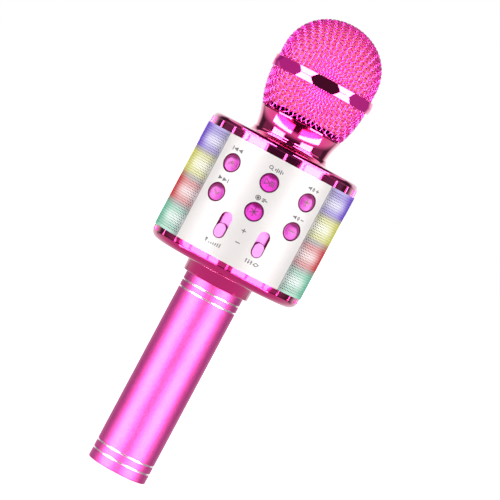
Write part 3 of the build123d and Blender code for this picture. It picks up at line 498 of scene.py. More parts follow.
def light_grille(name):
    g = Graph(name)
    full, pale, turn = lamp_glow(g)
    grain = g.noise(scale=700, rough=0.55)
    side = g.remap(turn, span=(58, 80), smooth=True)
    glow = g.mix(side, pale, full)
    # the glow dies away towards the panels, where the plastic itself shows
    near = g.remap(turn, span=(42.5, 53), to=(0.35, 1), smooth=True)
    base = g.vary(grain, srgb(150, 146, 154), srgb(134, 130, 138))
    # the lamps behind shine through the thin plastic and tint it
    base = g.mix(g.times(near, 0.9), base, glow)
    # painted shade: the walls of the fine holes are painted dark, least where the lamps are close
    facing, _ = g.outward()
    hole = g.times(g.remap(facing, span=(0.6, 0.8), to=(1, 0)),
                   g.remap(turn, span=(50, 66), to=(0.9, 0.35), smooth=True))
    base = g.mix(hole, base, srgb(64, 60, 70))
    power = g.times(near, g.remap(side, span=(0, 1), to=(0.44, 0.16)))
    g.set(color=base, rough=0.45, emit=glow, emit_power=g.times(power, g.invert(hole)), spec=0.0)
    g.bump(grain, strength=0.2, distance=0.00003)
    return g.mat


def chassis_plastic(name):
    """White plastic with a painted glow in the colours of the lamps near the light grilles."""
    g = Graph(name)
    full, pale, turn = lamp_glow(g)
    x, y, _ = g.split(g.pos)
    radius = g.length(x, y)
    grain = g.noise(scale=600)
    base = g.vary(grain, (0.72, 0.72, 0.71), (0.62, 0.62, 0.61))
    power = g.times(g.remap(turn, span=(46, 60), smooth=True),
                    g.remap(radius, span=(0.022, 0.03), to=(0, 0.5)))
    g.set(color=base, rough=0.5, emit=g.mix(0.35, full, pale), emit_power=power)
    g.bump(grain, strength=0.2, distance=0.00005)
    return g.mat


def lit_white(name, light, dark, rough, power, pale_share=0):
    """White part of the lamps that shines in the zone colours, partly in their pale form."""
    g = Graph(name)
    height = g.remap(g.split(g.pos)[2], span=(LIGHT_LOW, LIGHT_HIGH))
    glow = g.ramp(height, FULL_STOPS)
    if pale_share:
        glow = g.mix(pale_share, glow, g.ramp(height, PALE_STOPS))
    grain = g.noise(scale=500, detail=2)
    g.set(color=g.mix(grain, light, dark), rough=rough, emit=glow, emit_power=power)
    g.bump(grain, strength=0.1, distance=0.00003)
    return g.mat


def clear_lens(name):
    g = Graph(name)
    grain = g.noise(scale=600, detail=2)
    g.set(color=g.mix(grain, (0.9, 0.95, 0.95), (0.8, 0.87, 0.87)),
          rough=0.12, trans=0.6, ior=1.49)
    g.bump(grain, strength=0.1, distance=0.00003)
    return g.mat


def ink(name, dark, light, rough):
    g = Graph(name)
    grain = g.noise(scale=2500, rough=0.6)
    g.set(color=g.vary(grain, dark, light, span=(0.4, 0.7)), rough=rough)
    g.bump(grain, strength=0.1, distance=0.00002)
    return g.mat


# ------------------------------------------------------------------ material table
# Material slot, the function that makes it, and its options
MATERIAL_TABLE = (
    ("anodised_tube", satin_tube, {}),
    ("pink_chrome", pink_chrome, {}),
    ("key_chrome", key_metal, {}),
    ("mesh_pink", wire_metal, {}),
    ("windscreen_foam", foam, {}),
    ("panel_white", panel, {}),
    ("light_grille_plastic", light_grille, {}),
    ("knob_pink", knob_plastic, {}),
    ("black_plastic", moulded, dict(color=(0.03, 0.03, 0.033), rough=0.45)),
    ("white_plastic", chassis_plastic, {}),
    ("cell_wrap", moulded, dict(color=(0.05, 0.14, 0.5), rough=0.25, coat=0.5)),
    ("zinc_screw", moulded, dict(color=(0.6, 0.6, 0.62), rough=0.3, metal=1.0, scale=1500)),
    ("capsule_metal", moulded,
     dict(color=(0.75, 0.75, 0.76), rough=0.28, metal=1.0, scale=1500)),
    ("soft_rubber", moulded, dict(color=(0.05, 0.05, 0.05), rough=0.8)),
    ("board_green", board, dict(color=(0.02, 0.16, 0.06), trace=(0.08, 0.34, 0.14))),
    ("board_white", lit_white,
     dict(light=(0.85, 0.85, 0.83), dark=(0.7, 0.7, 0.68), rough=0.4, power=0.5)),
    ("chip_black", moulded, dict(color=(0.02, 0.02, 0.02), scale=2200)),
    ("socket_steel", moulded, dict(color=(0.66, 0.66, 0.67), rough=0.24, metal=1.0, scale=1600)),
    ("basket_black", moulded, dict(color=(0.04, 0.04, 0.045), rough=0.35, coat=0.2)),
    ("magnet_steel", moulded, dict(color=(0.4, 0.4, 0.42), rough=0.3, metal=1.0, scale=1300)),
    ("cone_paper", moulded, dict(color=(0.06, 0.06, 0.06), rough=0.85, scale=1500, strength=0.5)),
    ("light_emitter", lit_white,
     dict(light=(0.9, 0.9, 0.85), dark=(0.8, 0.8, 0.72), rough=0.3, power=1.6, pale_share=0.4)),
    ("lead_insulation", moulded, dict(color=(0.45, 0.02, 0.02), rough=0.4)),
    ("lead_grey", moulded, dict(color=(0.15, 0.15, 0.16), rough=0.7)),
    ("clear_lens", clear_lens, {}),
)
MATERIALS = {slot: make(slot, **options) for slot, make, options in MATERIAL_TABLE}
INK = ink("panel_ink", dark=srgb(46, 42, 47), light=srgb(82, 77, 82), rough=0.55)
# painted shade: the two covers use darker copies of the pink chrome, which dims their reflections
SHADED_COVERS = {
    "top_cover": pink_chrome("top_cover_shaded_chrome", base=(0.56, 0.014, 0.20)),
    "bottom_cover": pink_chrome("bottom_cover_shaded_chrome", base=(0.50, 0.005, 0.14), coat=0.5,
                                cone=True),
}
KEY_INK = ink("key_ink", dark=srgb(104, 8, 62), light=srgb(140, 18, 92), rough=0.4)

for part in frame["record"]["subparts"]:
    slots = frame["nodes"][part["node"]].data.materials
    slots.clear()
    slots.append(SHADED_COVERS.get(part["node"]) or MATERIALS[part["material_slot"]])


# ------------------------------------------------------------------ mesh helpers
def make_mesh(name, verts, faces, material, smooth=True):
    mesh = bpy.data.meshes.new(name)
    mesh.from_pydata(verts, [], faces)
    mesh.validate()
    mesh.update()
    made = bpy.data.objects.new(name, mesh)
    bpy.context.scene.collection.objects.link(made)
    mesh.materials.append(material)
    if smooth:
        mesh.polygons.foreach_set("use_smooth", [True] * len(mesh.polygons))
    return made


def fit(made, body, node=None):
    """Parent an object to the empty of the body it rides on, and hide the node it replaces."""
    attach(made, body)
    if node:
        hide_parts(node)


# ------------------------------------------------------------------ grille shapes
# Arcs of the half profile: radius of the centre from the axis, its height, radius of the arc
CROWN = (0.0, UPPER_TOP - 0.0276, 0.0276)
SHOULDER_X, SHOULDER_R = 0.0023, 0.02295
SHOULDER_RISE = math.sqrt((CROWN[2] - SHOULDER_R)**2 - SHOULDER_X**2)  # arcs are tangent
SHOULDER = (SHOULDER_X, CROWN[1] + SHOULDER_RISE, SHOULDER_R)
BOWL = (-0.0234, 0.2105, 0.0488)
MEET = math.degrees(math.atan2(SHOULDER_RISE, SHOULDER_X))  # where crown and shoulder meet
BEYOND = 0.016              # how far the cloth surfaces run on past their rims
WALL_MID = 0.00064          # middle of the woven wall below the outer skin


def arc_points(arc, inset, start, end, count):
    t = np.radians(np.linspace(start, end, count))
    return np.stack([arc[0] + (arc[2] - inset) * np.cos(t),
                     arc[1] + (arc[2] - inset) * np.sin(t)], 1)


def straight_wall(radius, start, end):
    return np.stack([np.full(30, radius), np.linspace(start, end, 31)[1:]], 1)


def bowl_end(foot, inset):
    """Angle on the bowl arc, in radians, at which it comes down to the height foot."""
    return -math.asin((BOWL[1] - foot) / (BOWL[2] - inset))


def crown_line(inset):
    """Half profile from the axis at the top down past the rim of the upper cup."""
    top = arc_points(CROWN, inset, 90, MEET, 60)
    side = arc_points(SHOULDER, inset, MEET, 0, 90)[1:]
    return np.concatenate([top, side, straight_wall(*side[-1], UPPER_RIM - BEYOND)])


def bowl_line(inset):
    """Half profile of the lower cup with a round bottom, later cut off, up past its rim."""
    start = bowl_end(LOWER_FOOT, inset)
    side = arc_points(BOWL, inset, math.degrees(start), 0, 90)
    fall = math.pi / 2 + start
    radius = side[0][0] / math.sin(fall)
    centre = side[0][1] + radius * math.cos(fall)
    t = np.linspace(0, fall, 80)[:-1]
    bottom = np.stack([radius * np.sin(t), centre - radius * np.cos(t)], 1)
    return np.concatenate([bottom, side, straight_wall(*side[-1], LOWER_RIM + BEYOND)])


class Turned:
    """Surface of revolution that points can be placed on or pulled back to."""

    def __init__(self, line):
        steps = np.linalg.norm(np.diff(line, axis=0), axis=1)
        arcs = np.concatenate([[0], np.cumsum(steps)])
        self.length = arcs[-1]
        self.arcs = np.linspace(0, arcs[-1], 260)
        self.line = np.stack([np.interp(self.arcs, arcs, line[:, 0]),
                              np.interp(self.arcs, arcs, line[:, 1])], 1)

    def at(self, arc, turn):
        radius = np.interp(arc, self.arcs, self.line[:, 0])
        z = np.interp(arc, self.arcs, self.line[:, 1])
        return np.stack([radius * np.cos(turn), radius * np.sin(turn), z], -1)

    def pull(self, points):
        """Nearest points on the surface, with their arc lengths and normals."""
        radius = np.hypot(points[..., 0], points[..., 1])
        safe = np.maximum(radius, 1e-9)
        flat = np.stack([radius, points[..., 2]], -1).reshape(-1, 2)
        squared = ((flat[:, None, :] - self.line[None]) ** 2).sum(-1)
        i = squared.argmin(1).clip(1, len(self.arcs) - 2)
        start, end = self.line[i - 1], self.line[i + 1]
        chord = end - start
        t = (((flat - start) * chord).sum(1) / (chord**2).sum(1)).clip(-0.2, 1.2)
        foot = start + chord * t[:, None]
        arc = self.arcs[i - 1] + t * (self.arcs[i + 1] - self.arcs[i - 1])
        normal = np.stack([-chord[:, 1], chord[:, 0]], 1)
        normal /= np.linalg.norm(normal, axis=1)[:, None]
        ux, uy = points[..., 0] / safe, points[..., 1] / safe

        def spin(pairs):
            pairs = pairs.reshape(radius.shape + (2,))
            return np.stack([pairs[..., 0] * ux, pairs[..., 0] * uy, pairs[..., 1]], -1)

        return spin(foot), arc.reshape(radius.shape), spin(normal)


# ------------------------------------------------------------------ woven grilles
WIRE_R = 0.00034
WIRE_LIFT = WIRE_R * 0.94   # how far a wire rises and dips at a crossing
PITCH = 0.00262             # spacing of the wires
WEAVE_TURN = math.radians(-90 + HEAD_TURN) + math.radians(45)


def drape(surface, rim):
    """Woven cloth laid from the pole: every mesh keeps its side length and shears.

    Gives the grid of crossings, their arc lengths, and which of them are in use."""
    half = int(rim / PITCH) + 4
    size = 2 * half + 1
    # one quadrant, grown from its two straight border threads
    quadrant = np.zeros((half + 1, half + 1, 3))
    good = np.zeros((half + 1, half + 1), bool)
    run = np.minimum(np.arange(half + 1) * PITCH, surface.length)
    quadrant[:, 0] = surface.at(run, np.full(half + 1, WEAVE_TURN))
    quadrant[0, :] = surface.at(run, np.full(half + 1, WEAVE_TURN + math.pi / 2))
    good[:, 0] = good[0, :] = True
    for diagonal in range(2, 2 * half + 1):
        i = np.arange(max(1, diagonal - half), min(diagonal - 1, half) + 1)
        j = diagonal - i
        use = good[i - 1, j] & good[i, j - 1] & good[i - 1, j - 1]
        i, j = i[use], j[use]
        if not len(i):
            break
        before, beside = quadrant[i - 1, j], quadrant[i, j - 1]
        x = before + beside - quadrant[i - 1, j - 1]
        for _ in range(60):
            for side in (before, beside):
                e = x - side
                length = np.linalg.norm(e, axis=-1, keepdims=True)
                x = x - e * (length - PITCH) / np.maximum(length, 1e-9) * 0.7
            x = surface.pull(x)[0]
        error = np.maximum(abs(np.linalg.norm(x - before, axis=-1) - PITCH),
                           abs(np.linalg.norm(x - beside, axis=-1) - PITCH))
        arc = surface.pull(x)[1]
        quadrant[i, j] = x
        open_mesh = np.linalg.norm(before - beside, axis=-1) < 1.98 * PITCH
        good[i, j] = (error < 0.12 * PITCH) & (arc < rim + 3.0 * PITCH) & open_mesh
    # the same quadrant turned to all four sides
    points = np.zeros((size, size, 3))
    active = np.zeros((size, size), bool)
    i, j = np.meshgrid(np.arange(half + 1), np.arange(half + 1), indexing="ij")
    x, y, z = quadrant[..., 0], quadrant[..., 1], quadrant[..., 2]
    for quarter in range(4):
        c = round(math.cos(quarter * math.pi / 2))
        s = round(math.sin(quarter * math.pi / 2))
        place = (c * i - s * j + half, s * i + c * j + half)
        points[place] = np.stack([c * x - s * y, s * x + c * y, z], -1)
        active[place] = good
    arcs = surface.pull(points)[1]
    arcs[half, half] = 0.0
    return points, arcs, active


def spline(points, t):
    """Catmull-Rom through equally spaced points."""
    count = len(points)
    i = np.clip(np.floor(t).astype(int), 0, count - 2)
    u = (t - i)[:, None]
    p0, p1 = points[np.maximum(i - 1, 0)], points[i]
    p2, p3 = points[i + 1], points[np.minimum(i + 2, count - 1)]
    return 0.5 * (2 * p1 + (p2 - p0) * u + (2 * p0 - 5 * p1 + 4 * p2 - p3) * u**2
                  + (3 * p1 - p0 - 3 * p2 + p3) * u**3)


def runs(mask, shortest):
    """Unbroken runs of true places in a mask."""
    places = np.nonzero(mask)[0]
    pieces = np.split(places, np.nonzero(np.diff(places) > 1)[0] + 1)
    return [piece for piece in pieces if len(piece) >= shortest]


def wire_tube(path, normal, base, sides=7):
    """Closed tube along a path; base is the number of its first vertex."""
    tangent = np.gradient(path, axis=0)
    tangent /= np.linalg.norm(tangent, axis=1)[:, None]
    normal = normal - (normal * tangent).sum(1)[:, None] * tangent
    normal /= np.linalg.norm(normal, axis=1)[:, None]
    across = np.cross(tangent, normal)
    around = np.linspace(0, 2 * np.pi, sides, endpoint=False)
    rings = path[:, None, :] + WIRE_R * (np.cos(around)[None, :, None] * normal[:, None, :]
                                         + np.sin(around)[None, :, None] * across[:, None, :])
    count = len(path)
    starts = base + np.arange(count - 1)[:, None] * sides
    a = starts + np.arange(sides)[None]
    b = starts + (np.arange(sides)[None] + 1) % sides
    faces = np.stack([a, b, b + sides, a + sides], -1).reshape(-1, 4).tolist()
    first = base + np.arange(sides)
    last = first + (count - 1) * sides
    centre = base + count * sides
    faces += np.stack([np.roll(first, -1), first, np.full(sides, centre)], -1).tolist()
    faces += np.stack([last, np.roll(last, -1), np.full(sides, centre + 1)], -1).tolist()
    return np.concatenate([rings.reshape(-1, 3), path[:1], path[-1:]]), faces


def weave(node, surface, low_cut, steps=5):
    """Two sets of wires passing over and under each other, steps points to each crossing."""
    rim = surface.length - BEYOND - 0.0001
    points, arcs, active = drape(surface, rim)
    verts, faces, total = [], [], 0
    for family in (0, 1):
        for row in range(len(points)):
            pick = (row, slice(None)) if family == 0 else (slice(None), row)
            line, line_arcs = points[pick], arcs[pick]
            for run in runs(active[pick], 3):
                t = np.arange(run[0], run[-1] + 1e-9, 1 / steps)
                path = spline(line[run[0]:run[-1] + 1], t - run[0])
                path_arcs = np.interp(t, run, line_arcs[run])
                normal = surface.pull(path)[2]
                over = np.cos(np.pi * (t + row)) * (1 if family == 0 else -1)
                over = np.sign(over) * np.abs(over) ** 0.8
                path = path + normal * (over * WIRE_LIFT)[:, None]
                for piece in runs((path_arcs < rim) & (path_arcs > low_cut), 4):
                    tube, tube_faces = wire_tube(path[piece], normal[piece], total)
                    verts += tube.tolist()
                    faces += tube_faces
                    total += len(tube)
    made = make_mesh(f"{node}_weave", verts, faces, MATERIALS["mesh_pink"])
    fit(made, "grille_head", node)


weave("upper_grille", Turned(crown_line(WALL_MID)), low_cut=-1)
bowl = Turned(bowl_line(WALL_MID))
# the lower cup is cut off where its wall reaches the foot
weave("lower_grille", bowl,
      low_cut=float(bowl.arcs[bowl.line[:, 1] > LOWER_FOOT + 0.0001].min()))


# ------------------------------------------------------------------ grille ring
def grille_ring(turns=960, rows=32):
    """Faceted ring: a double cone cut by eight flats, with a small tongue inside."""
    low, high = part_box("grille_ring")
    middle, half = (low.z + high.z) / 2, (high.z - low.z) / 2
    edge, bore_r, tongue_r, tongue_half = 0.0001, 0.0255, 0.0246, 0.0004
    around = np.radians(np.arange(turns) * 360 / turns)
    z = np.linspace(-half, half, rows + 1)
    z = np.sort(np.concatenate([z, [-half + edge, half - edge]]))
    cone = np.interp(abs(z), [0, edge, half - edge, half], [0.02755, 0.02755, 0.0268, 0.0267])
    flat = 0.0264 - 0.00012 * abs(z) / half
    centres = np.radians(-90 + HEAD_TURN + 45 * np.arange(8))
    away = np.abs((around[:, None] - centres[None] + np.pi) % (2 * np.pi) - np.pi).min(1)
    outer = np.minimum(cone[None, :], flat[None, :] / np.cos(away)[:, None]).T
    # radius and height of the inside, from the top down
    inner = [(bore_r, half), (bore_r, tongue_half), (tongue_r, tongue_half),
             (tongue_r, -tongue_half), (bore_r, -tongue_half), (bore_r, -half)]
    section = list(zip(outer, z)) + inner
    loops = [np.stack([radius * np.cos(around), radius * np.sin(around),
                       np.full(turns, middle + height)], 1) for radius, height in section]
    i = np.arange(len(loops))[:, None]
    j = np.arange(turns)[None]
    below, after = (i + 1) % len(loops), (j + 1) % turns
    quads = np.stack([i * turns + j, i * turns + after, below * turns + after,
                      below * turns + j], -1).reshape(-1, 4)
    chrome = pink_chrome("ring_chrome", rough=0.03, flats=True)
    made = make_mesh("grille_ring_faceted", np.concatenate(loops).tolist(), quads.tolist(),
                     chrome, smooth=False)
    fit(made, "grille_head", "grille_ring")


grille_ring()


# ------------------------------------------------------------------ foam windscreen
def value_noise(points, scale, seed):
    """Smooth repeatable noise, 0 to 1."""
    scaled = points * scale
    cell = np.floor(scaled).astype(np.int64)
    f = scaled - cell
    f = f * f * (3 - 2 * f)
    out = np.zeros(len(points))
    for dx in (0, 1):
        for dy in (0, 1):
            for dz in (0, 1):
                h = (((cell[:, 0] + dx) * 73856093) ^ ((cell[:, 1] + dy) * 19349663)
                     ^ ((cell[:, 2] + dz) * 83492791) ^ (seed * 2654435761))
                h = (h ^ (h >> 13)) * 1274126177
                value = ((h ^ (h >> 16)) & 0xFFFF) / 65535.0
                weight = ((f[:, 0] if dx else 1 - f[:, 0]) * (f[:, 1] if dy else 1 - f[:, 1])
                          * (f[:, 2] if dz else 1 - f[:, 2]))
                out += value * weight
    return out


def windscreen(turns=260):
    """Foam shell inside the grilles, with a pitted outer skin."""
    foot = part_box("foam_liner")[0].z
    outer_inset, inner_inset = 0.0015, 0.00635   # depths of its skins below the grille

    def side_line(inset):
        wall_z = np.linspace(SHOULDER[1], BOWL[1], 18)[1:-1]
        return np.concatenate([
            arc_points(CROWN, inset, 89.6, MEET, 34),
            arc_points(SHOULDER, inset, MEET, 0, 50)[1:],
            np.stack([np.full(16, SHOULDER[0] + SHOULDER[2] - inset), wall_z], 1),
            arc_points(BOWL, inset, 0, math.degrees(bowl_end(foot, inset)), 40),
        ])

    outer = side_line(outer_inset)
    line = np.concatenate([outer, side_line(inner_inset)[::-1]])
    around = np.linspace(0, 2 * np.pi, turns, endpoint=False)
    count = len(line)
    grid = np.stack([line[:, None, 0] * np.cos(around), line[:, None, 0] * np.sin(around),
                     np.repeat(line[:, None, 1], turns, 1)], -1)
    points = grid.reshape(-1, 3)
    pores = value_noise(points, 1500, 3) * 0.6 + value_noise(points, 700, 9) * 0.4
    on_skin = np.where(np.arange(count)[:, None] < len(outer), 1, 0).repeat(turns, 1)
    depth = np.minimum(on_skin.reshape(-1) * (0.5 - pores) * 0.0007, 0.00012)
    away = points - np.array([0, 0, 0.215])
    away /= np.linalg.norm(away, axis=1)[:, None]
    points = points + away * depth[:, None]
    # the quads stop short of joining the last inner ring to the first outer ring
    i = np.arange(count - 1)[:, None]
    j = np.arange(turns)[None]
    k = (j + 1) % turns
    quads = np.stack([i * turns + j, (i + 1) * turns + j, (i + 1) * turns + k, i * turns + k], -1)
    faces = quads.reshape(-1, 4).tolist()
    # fans close the two poles
    top, hollow = len(points), len(points) + 1
    verts = points.tolist() + [[0, 0, float(line[0, 1])], [0, 0, float(line[-1, 1])]]
    last = (count - 1) * turns
    for q in range(turns):
        after = (q + 1) % turns
        faces.append((top, q, after))
        faces.append((hollow, last + after, last + q))
    made = make_mesh("foam_windscreen", verts, faces, MATERIALS["windscreen_foam"])
    fit(made, "grille_head", "foam_liner")


windscreen()


# ------------------------------------------------------------------ perforated light grilles
GRILLE_INNER_R = 0.038
GRILLE_HALF = 46.75         # degrees from the middle of a grille to its end
HOLE_R = 0.00037
BORDER_Z, BORDER_TURN = 0.0011, 0.9     # plain borders: metres up, degrees round


def perforated(node, middle):
    """Curved plate with staggered rows of six-sided holes, every hole cut right through."""
    low, high = (corner.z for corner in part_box(node))
    height = high - low - 2 * BORDER_Z
    rows = int(height / 0.00118)
    pitch_z = height / rows
    width = 2 * GRILLE_HALF - 2 * BORDER_TURN
    cols = int(width / math.degrees(0.00132 / DRUM_R))
    pitch = width / cols
    left, right = -GRILLE_HALF + BORDER_TURN, GRILLE_HALF - BORDER_TURN
    half_steps = [left + c * pitch / 2 for c in range(2 * cols + 1)]
    heights = [low] + [low + BORDER_Z + row * pitch_z for row in range(rows + 1)] + [high]
    verts, faces, index = [], [], {}

    def vert(t, z, radius):
        key = (round(t, 5), round(z, 8), round(radius, 6))
        if key not in index:
            turn = math.radians(middle - 90 + t)
            index[key] = len(verts)
            verts.append((radius * math.cos(turn), radius * math.sin(turn), z))
        return index[key]

    def face(radius, *ids):
        faces.append(ids if radius == DRUM_R else ids[::-1])

    def patch(radius, ta, tb, za, zb):
        face(radius, vert(ta, za, radius), vert(tb, za, radius),
             vert(tb, zb, radius), vert(ta, zb, radius))

    def cell(radius, ta, tb, za, zb):
        """Plate round one hole; its outline has middle points shared by staggered rows."""
        tm, zm = (ta + tb) / 2, (za + zb) / 2
        outline = [(ta, za), (tm, za), (tb, za), (tb, zb), (tm, zb), (ta, zb)]
        ring = []
        for q in range(6):
            angle = math.radians(-150 + q * 60)
            ring.append((tm + math.degrees(HOLE_R * math.cos(angle) / DRUM_R),
                         zm + HOLE_R * math.sin(angle)))
        rim = [vert(t, z, radius) for t, z in outline]
        hole = [vert(t, z, radius) for t, z in ring]
        for q in range(6):
            w = (q + 1) % 6
            face(radius, rim[q], rim[w], hole[w], hole[q])
        if radius == DRUM_R:
            deep = [vert(t, z, GRILLE_INNER_R) for t, z in ring]
            for q in range(6):
                w = (q + 1) % 6
                faces.append((hole[q], hole[w], deep[w], deep[q]))

    for radius in (DRUM_R, GRILLE_INNER_R):
        for row in range(rows):
            za, zb = low + BORDER_Z + row * pitch_z, low + BORDER_Z + (row + 1) * pitch_z
            odd = row % 2
            start = left + 0.5 * odd * pitch
            for c in range(cols - odd):
                cell(radius, start + c * pitch, start + (c + 1) * pitch, za, zb)
            if odd:
                # half cells at both ends of the shifted rows
                patch(radius, left, left + pitch / 2, za, zb)
                patch(radius, right - pitch / 2, right, za, zb)
        for za, zb in ((low, low + BORDER_Z), (high - BORDER_Z, high)):
            for ta, tb in zip(half_steps, half_steps[1:]):
                patch(radius, ta, tb, za, zb)
        for ta, tb in ((-GRILLE_HALF, left), (right, GRILLE_HALF)):
            for za, zb in zip(heights, heights[1:]):
                patch(radius, ta, tb, za, zb)

    def edge(ta, za, tb, zb):
        """Narrow face across the thickness of the plate."""
        faces.append((vert(ta, za, GRILLE_INNER_R), vert(tb, zb, GRILLE_INNER_R),
                      vert(tb, zb, DRUM_R), vert(ta, za, DRUM_R)))

    for za, zb in zip(heights, heights[1:]):
        edge(-GRILLE_HALF, zb, -GRILLE_HALF, za)
        edge(GRILLE_HALF, za, GRILLE_HALF, zb)
    turns = [-GRILLE_HALF, *half_steps, GRILLE_HALF]
    for ta, tb in zip(turns, turns[1:]):
        edge(ta, low, tb, low)
        edge(tb, high, ta, high)
    made = make_mesh(f"{node}_perforated", verts, faces, MATERIALS["light_grille_plastic"],
                     smooth=False)
    fit(made, "housing", node)


perforated("left_light_grille", -90)
perforated("right_light_grille", 90)


# ------------------------------------------------------------------ printed signs, in mm
def slab_faces(base, count):
    """Faces of a flat slab: count outline points on top, then the same points below."""
    faces = [tuple(range(base, base + count)),
             tuple(range(base + 2 * count - 1, base + count - 1, -1))]
    for i in range(count):
        j = (i + 1) % count
        faces.append((base + j, base + i, base + count + i, base + count + j))
    return faces


def arc_strips(radius, width, start, end, count):
    """Four-cornered pieces of an arc, angles in degrees."""
    inner, outer = radius - width / 2, radius + width / 2
    turns = [math.radians(start + (end - start) * i / count) for i in range(count + 1)]
    return [[(inner * math.cos(a), inner * math.sin(a)), (outer * math.cos(a), outer * math.sin(a)),
             (outer * math.cos(b), outer * math.sin(b)), (inner * math.cos(b), inner * math.sin(b))]
            for a, b in zip(turns, turns[1:])]


class Signs:
    """Ink shapes laid on the drum; x runs round the panel and z up from the current place."""

    BAR, ARC = 0.42, 0.38         # line widths
    STRETCH_X, STRETCH_Z = 1.18, 1.08
    TOP_R, UNDER_R = 40.03, 39.99

    def __init__(self):
        self.verts, self.faces = [], []

    def at(self, height, turn=0.0, along=0.0):
        """Move to a height, an angle from the front in degrees, and a distance round."""
        self.height, self.turn, self.along = height, turn, along

    def add(self, ring):
        self.faces += slab_faces(len(self.verts), len(ring))
        for radius in (self.TOP_R, self.UNDER_R):
            for x, z in ring:
                angle = (math.radians(self.turn - 90)
                         + (self.along + x * self.STRETCH_X) / (DRUM_R / MM))
                self.verts.append((radius * MM * math.cos(angle), radius * MM * math.sin(angle),
                                   (self.height + z * self.STRETCH_Z) * MM))

    def bar(self, x, z=0.0, wide=BAR, high=BAR):
        self.add([(x - wide / 2, z - high / 2), (x + wide / 2, z - high / 2),
                  (x + wide / 2, z + high / 2), (x - wide / 2, z + high / 2)])

    def dot(self, x, z, radius, count=18):
        turns = [2 * math.pi * i / count for i in range(count)]
        self.add([(x + radius * math.cos(t), z + radius * math.sin(t)) for t in turns])

    def arc(self, x, z, radius, start=0, end=360, count=12):
        for strip in arc_strips(radius, self.ARC, start, end, count):
            self.add([(x + px, z + pz) for px, pz in strip])

    def triangle(self, x, z, wide, high):
        """Triangle that points towards +x, or -x where wide is negative."""
        ring = [(x - wide / 2, z - high / 2), (x + wide / 2, z), (x - wide / 2, z + high / 2)]
        self.add(ring if wide > 0 else ring[::-1])

    def done(self, name):
        made = make_mesh(name, self.verts, self.faces, INK, smooth=False)
        fit(made, "housing")


# Heights of the signs over the two rows of keys and under the faders
HIGH_ROW, LOW_ROW, FADER_ROW = 165.5, 150.0, 121.1


def front_signs():
    signs = Signs()
    # previous track
    signs.at(HIGH_ROW, -KEY_TURN)
    signs.bar(-2.6, high=1.9)
    signs.triangle(-1.2, 0, wide=-2.1, high=1.9)
    signs.triangle(1.1, 0, wide=-2.1, high=1.9)
    # next track
    signs.at(LOW_ROW, -KEY_TURN)
    signs.triangle(-1.3, 0, wide=2.1, high=1.9)
    signs.triangle(1.0, 0, wide=2.1, high=1.9)
    signs.bar(2.5, high=1.9)
    # search: a lens with its handle, and five bars
    signs.at(HIGH_ROW)
    signs.arc(-2.2, 0.15, 0.72, count=20)
    signs.add([(-1.95, -0.5), (-1.25, -1.12), (-1.0, -1.0), (-1.5, -0.5), (-1.75, -0.28)])
    for x, high in ((-0.2, 1.0), (0.6, 1.9), (1.4, 1.3), (2.2, 1.9), (3.0, 0.9)):
        signs.bar(x, high=high)
    # record: a ringed dot and three lines
    signs.at(LOW_ROW)
    signs.dot(-1.2, 0, 0.62)
    signs.arc(-1.2, 0, 1.0, count=22)
    for x, z, wide in ((1.4, 0.62, 1.5), (1.8, 0.0, 2.3), (1.2, -0.62, 1.1)):
        signs.bar(x, z, wide=wide)
    # volume up and down: a loudspeaker with a plus or a minus
    for row in (HIGH_ROW, LOW_ROW):
        signs.at(row, KEY_TURN)
        signs.bar(-2.4, wide=0.7, high=0.8)
        signs.add([(-2.0, -0.4), (-1.2, -1.0), (-1.2, 1.0), (-2.0, 0.4)])
        for radius in (0.75, 1.3):
            signs.arc(-1.1, 0, radius, start=-45, end=45, count=8)
        signs.bar(1.9, wide=1.5)
        if row == HIGH_ROW:
            signs.bar(1.9, high=1.5)
    # microphone level
    signs.at(FADER_ROW, -FADER_TURN)
    signs.dot(-3.4, 0.55, 0.52)
    signs.add([(-3.8, 0.3), (-3.55, -1.0), (-3.25, -1.0), (-3.0, 0.3)])
    for i in range(6):
        high = 0.5 + 0.28 * i
        signs.bar(-1.8 + i * 0.95, -0.95 + high / 2, high=high)
    # sound mix: three sliders and two turning arrows
    signs.at(FADER_ROW, FADER_TURN)
    for i, z in enumerate((0.45, -0.4, 0.15)):
        signs.bar(-2.4 + i * 1.2, high=1.9)
        signs.bar(-2.4 + i * 1.2, z, wide=0.8)
    signs.arc(2.2, -0.1, 0.8, start=20, end=160, count=10)
    signs.arc(2.2, 0.1, 0.8, start=200, end=340, count=10)
    signs.triangle(3.3, 0.25, wide=0.7, high=0.9)
    signs.triangle(1.1, -0.25, wide=-0.7, high=0.9)
    # more and less between the faders
    signs.at(132.85)
    signs.bar(0, wide=2.0)
    signs.bar(0, high=2.0)
    signs.at(126.6)
    signs.bar(0, wide=2.0)
    signs.done("front_panel_signs")


def key_sign(node, turn, height, shapes):
    """Ink on the raised sign of a key: flat outlines in the key's own plane."""
    angle = math.radians(turn)
    out = Vector((math.sin(angle), -math.cos(angle), 0))
    along = Vector((math.cos(angle), math.sin(angle), 0))
    verts, faces = [], []
    for ring in shapes:
        area = sum(a[0] * b[1] - b[0] * a[1] for a, b in zip(ring, ring[1:] + ring[:1]))
        ring = ring if area > 0 else ring[::-1]
        faces += slab_faces(len(verts), len(ring))
        for depth in (39.66, 39.56):
            for x, z in ring:
                verts.append((out * depth + along * x + Vector((0, 0, height + z))) * MM)
    made = make_mesh(f"{node}_key_sign", verts, faces, KEY_INK, smooth=False)
    fit(made, f"{node}_key")


def bar(x, z, wide, high, angle=0.0):
    """Outline of a bar turned by an angle in degrees about its middle."""
    c, s = math.cos(math.radians(angle)), math.sin(math.radians(angle))
    corners = ((-wide / 2, -high / 2), (wide / 2, -high / 2),
               (wide / 2, high / 2), (-wide / 2, high / 2))
    return [(x + px * c - pz * s, z + px * s + pz * c) for px, pz in corners]


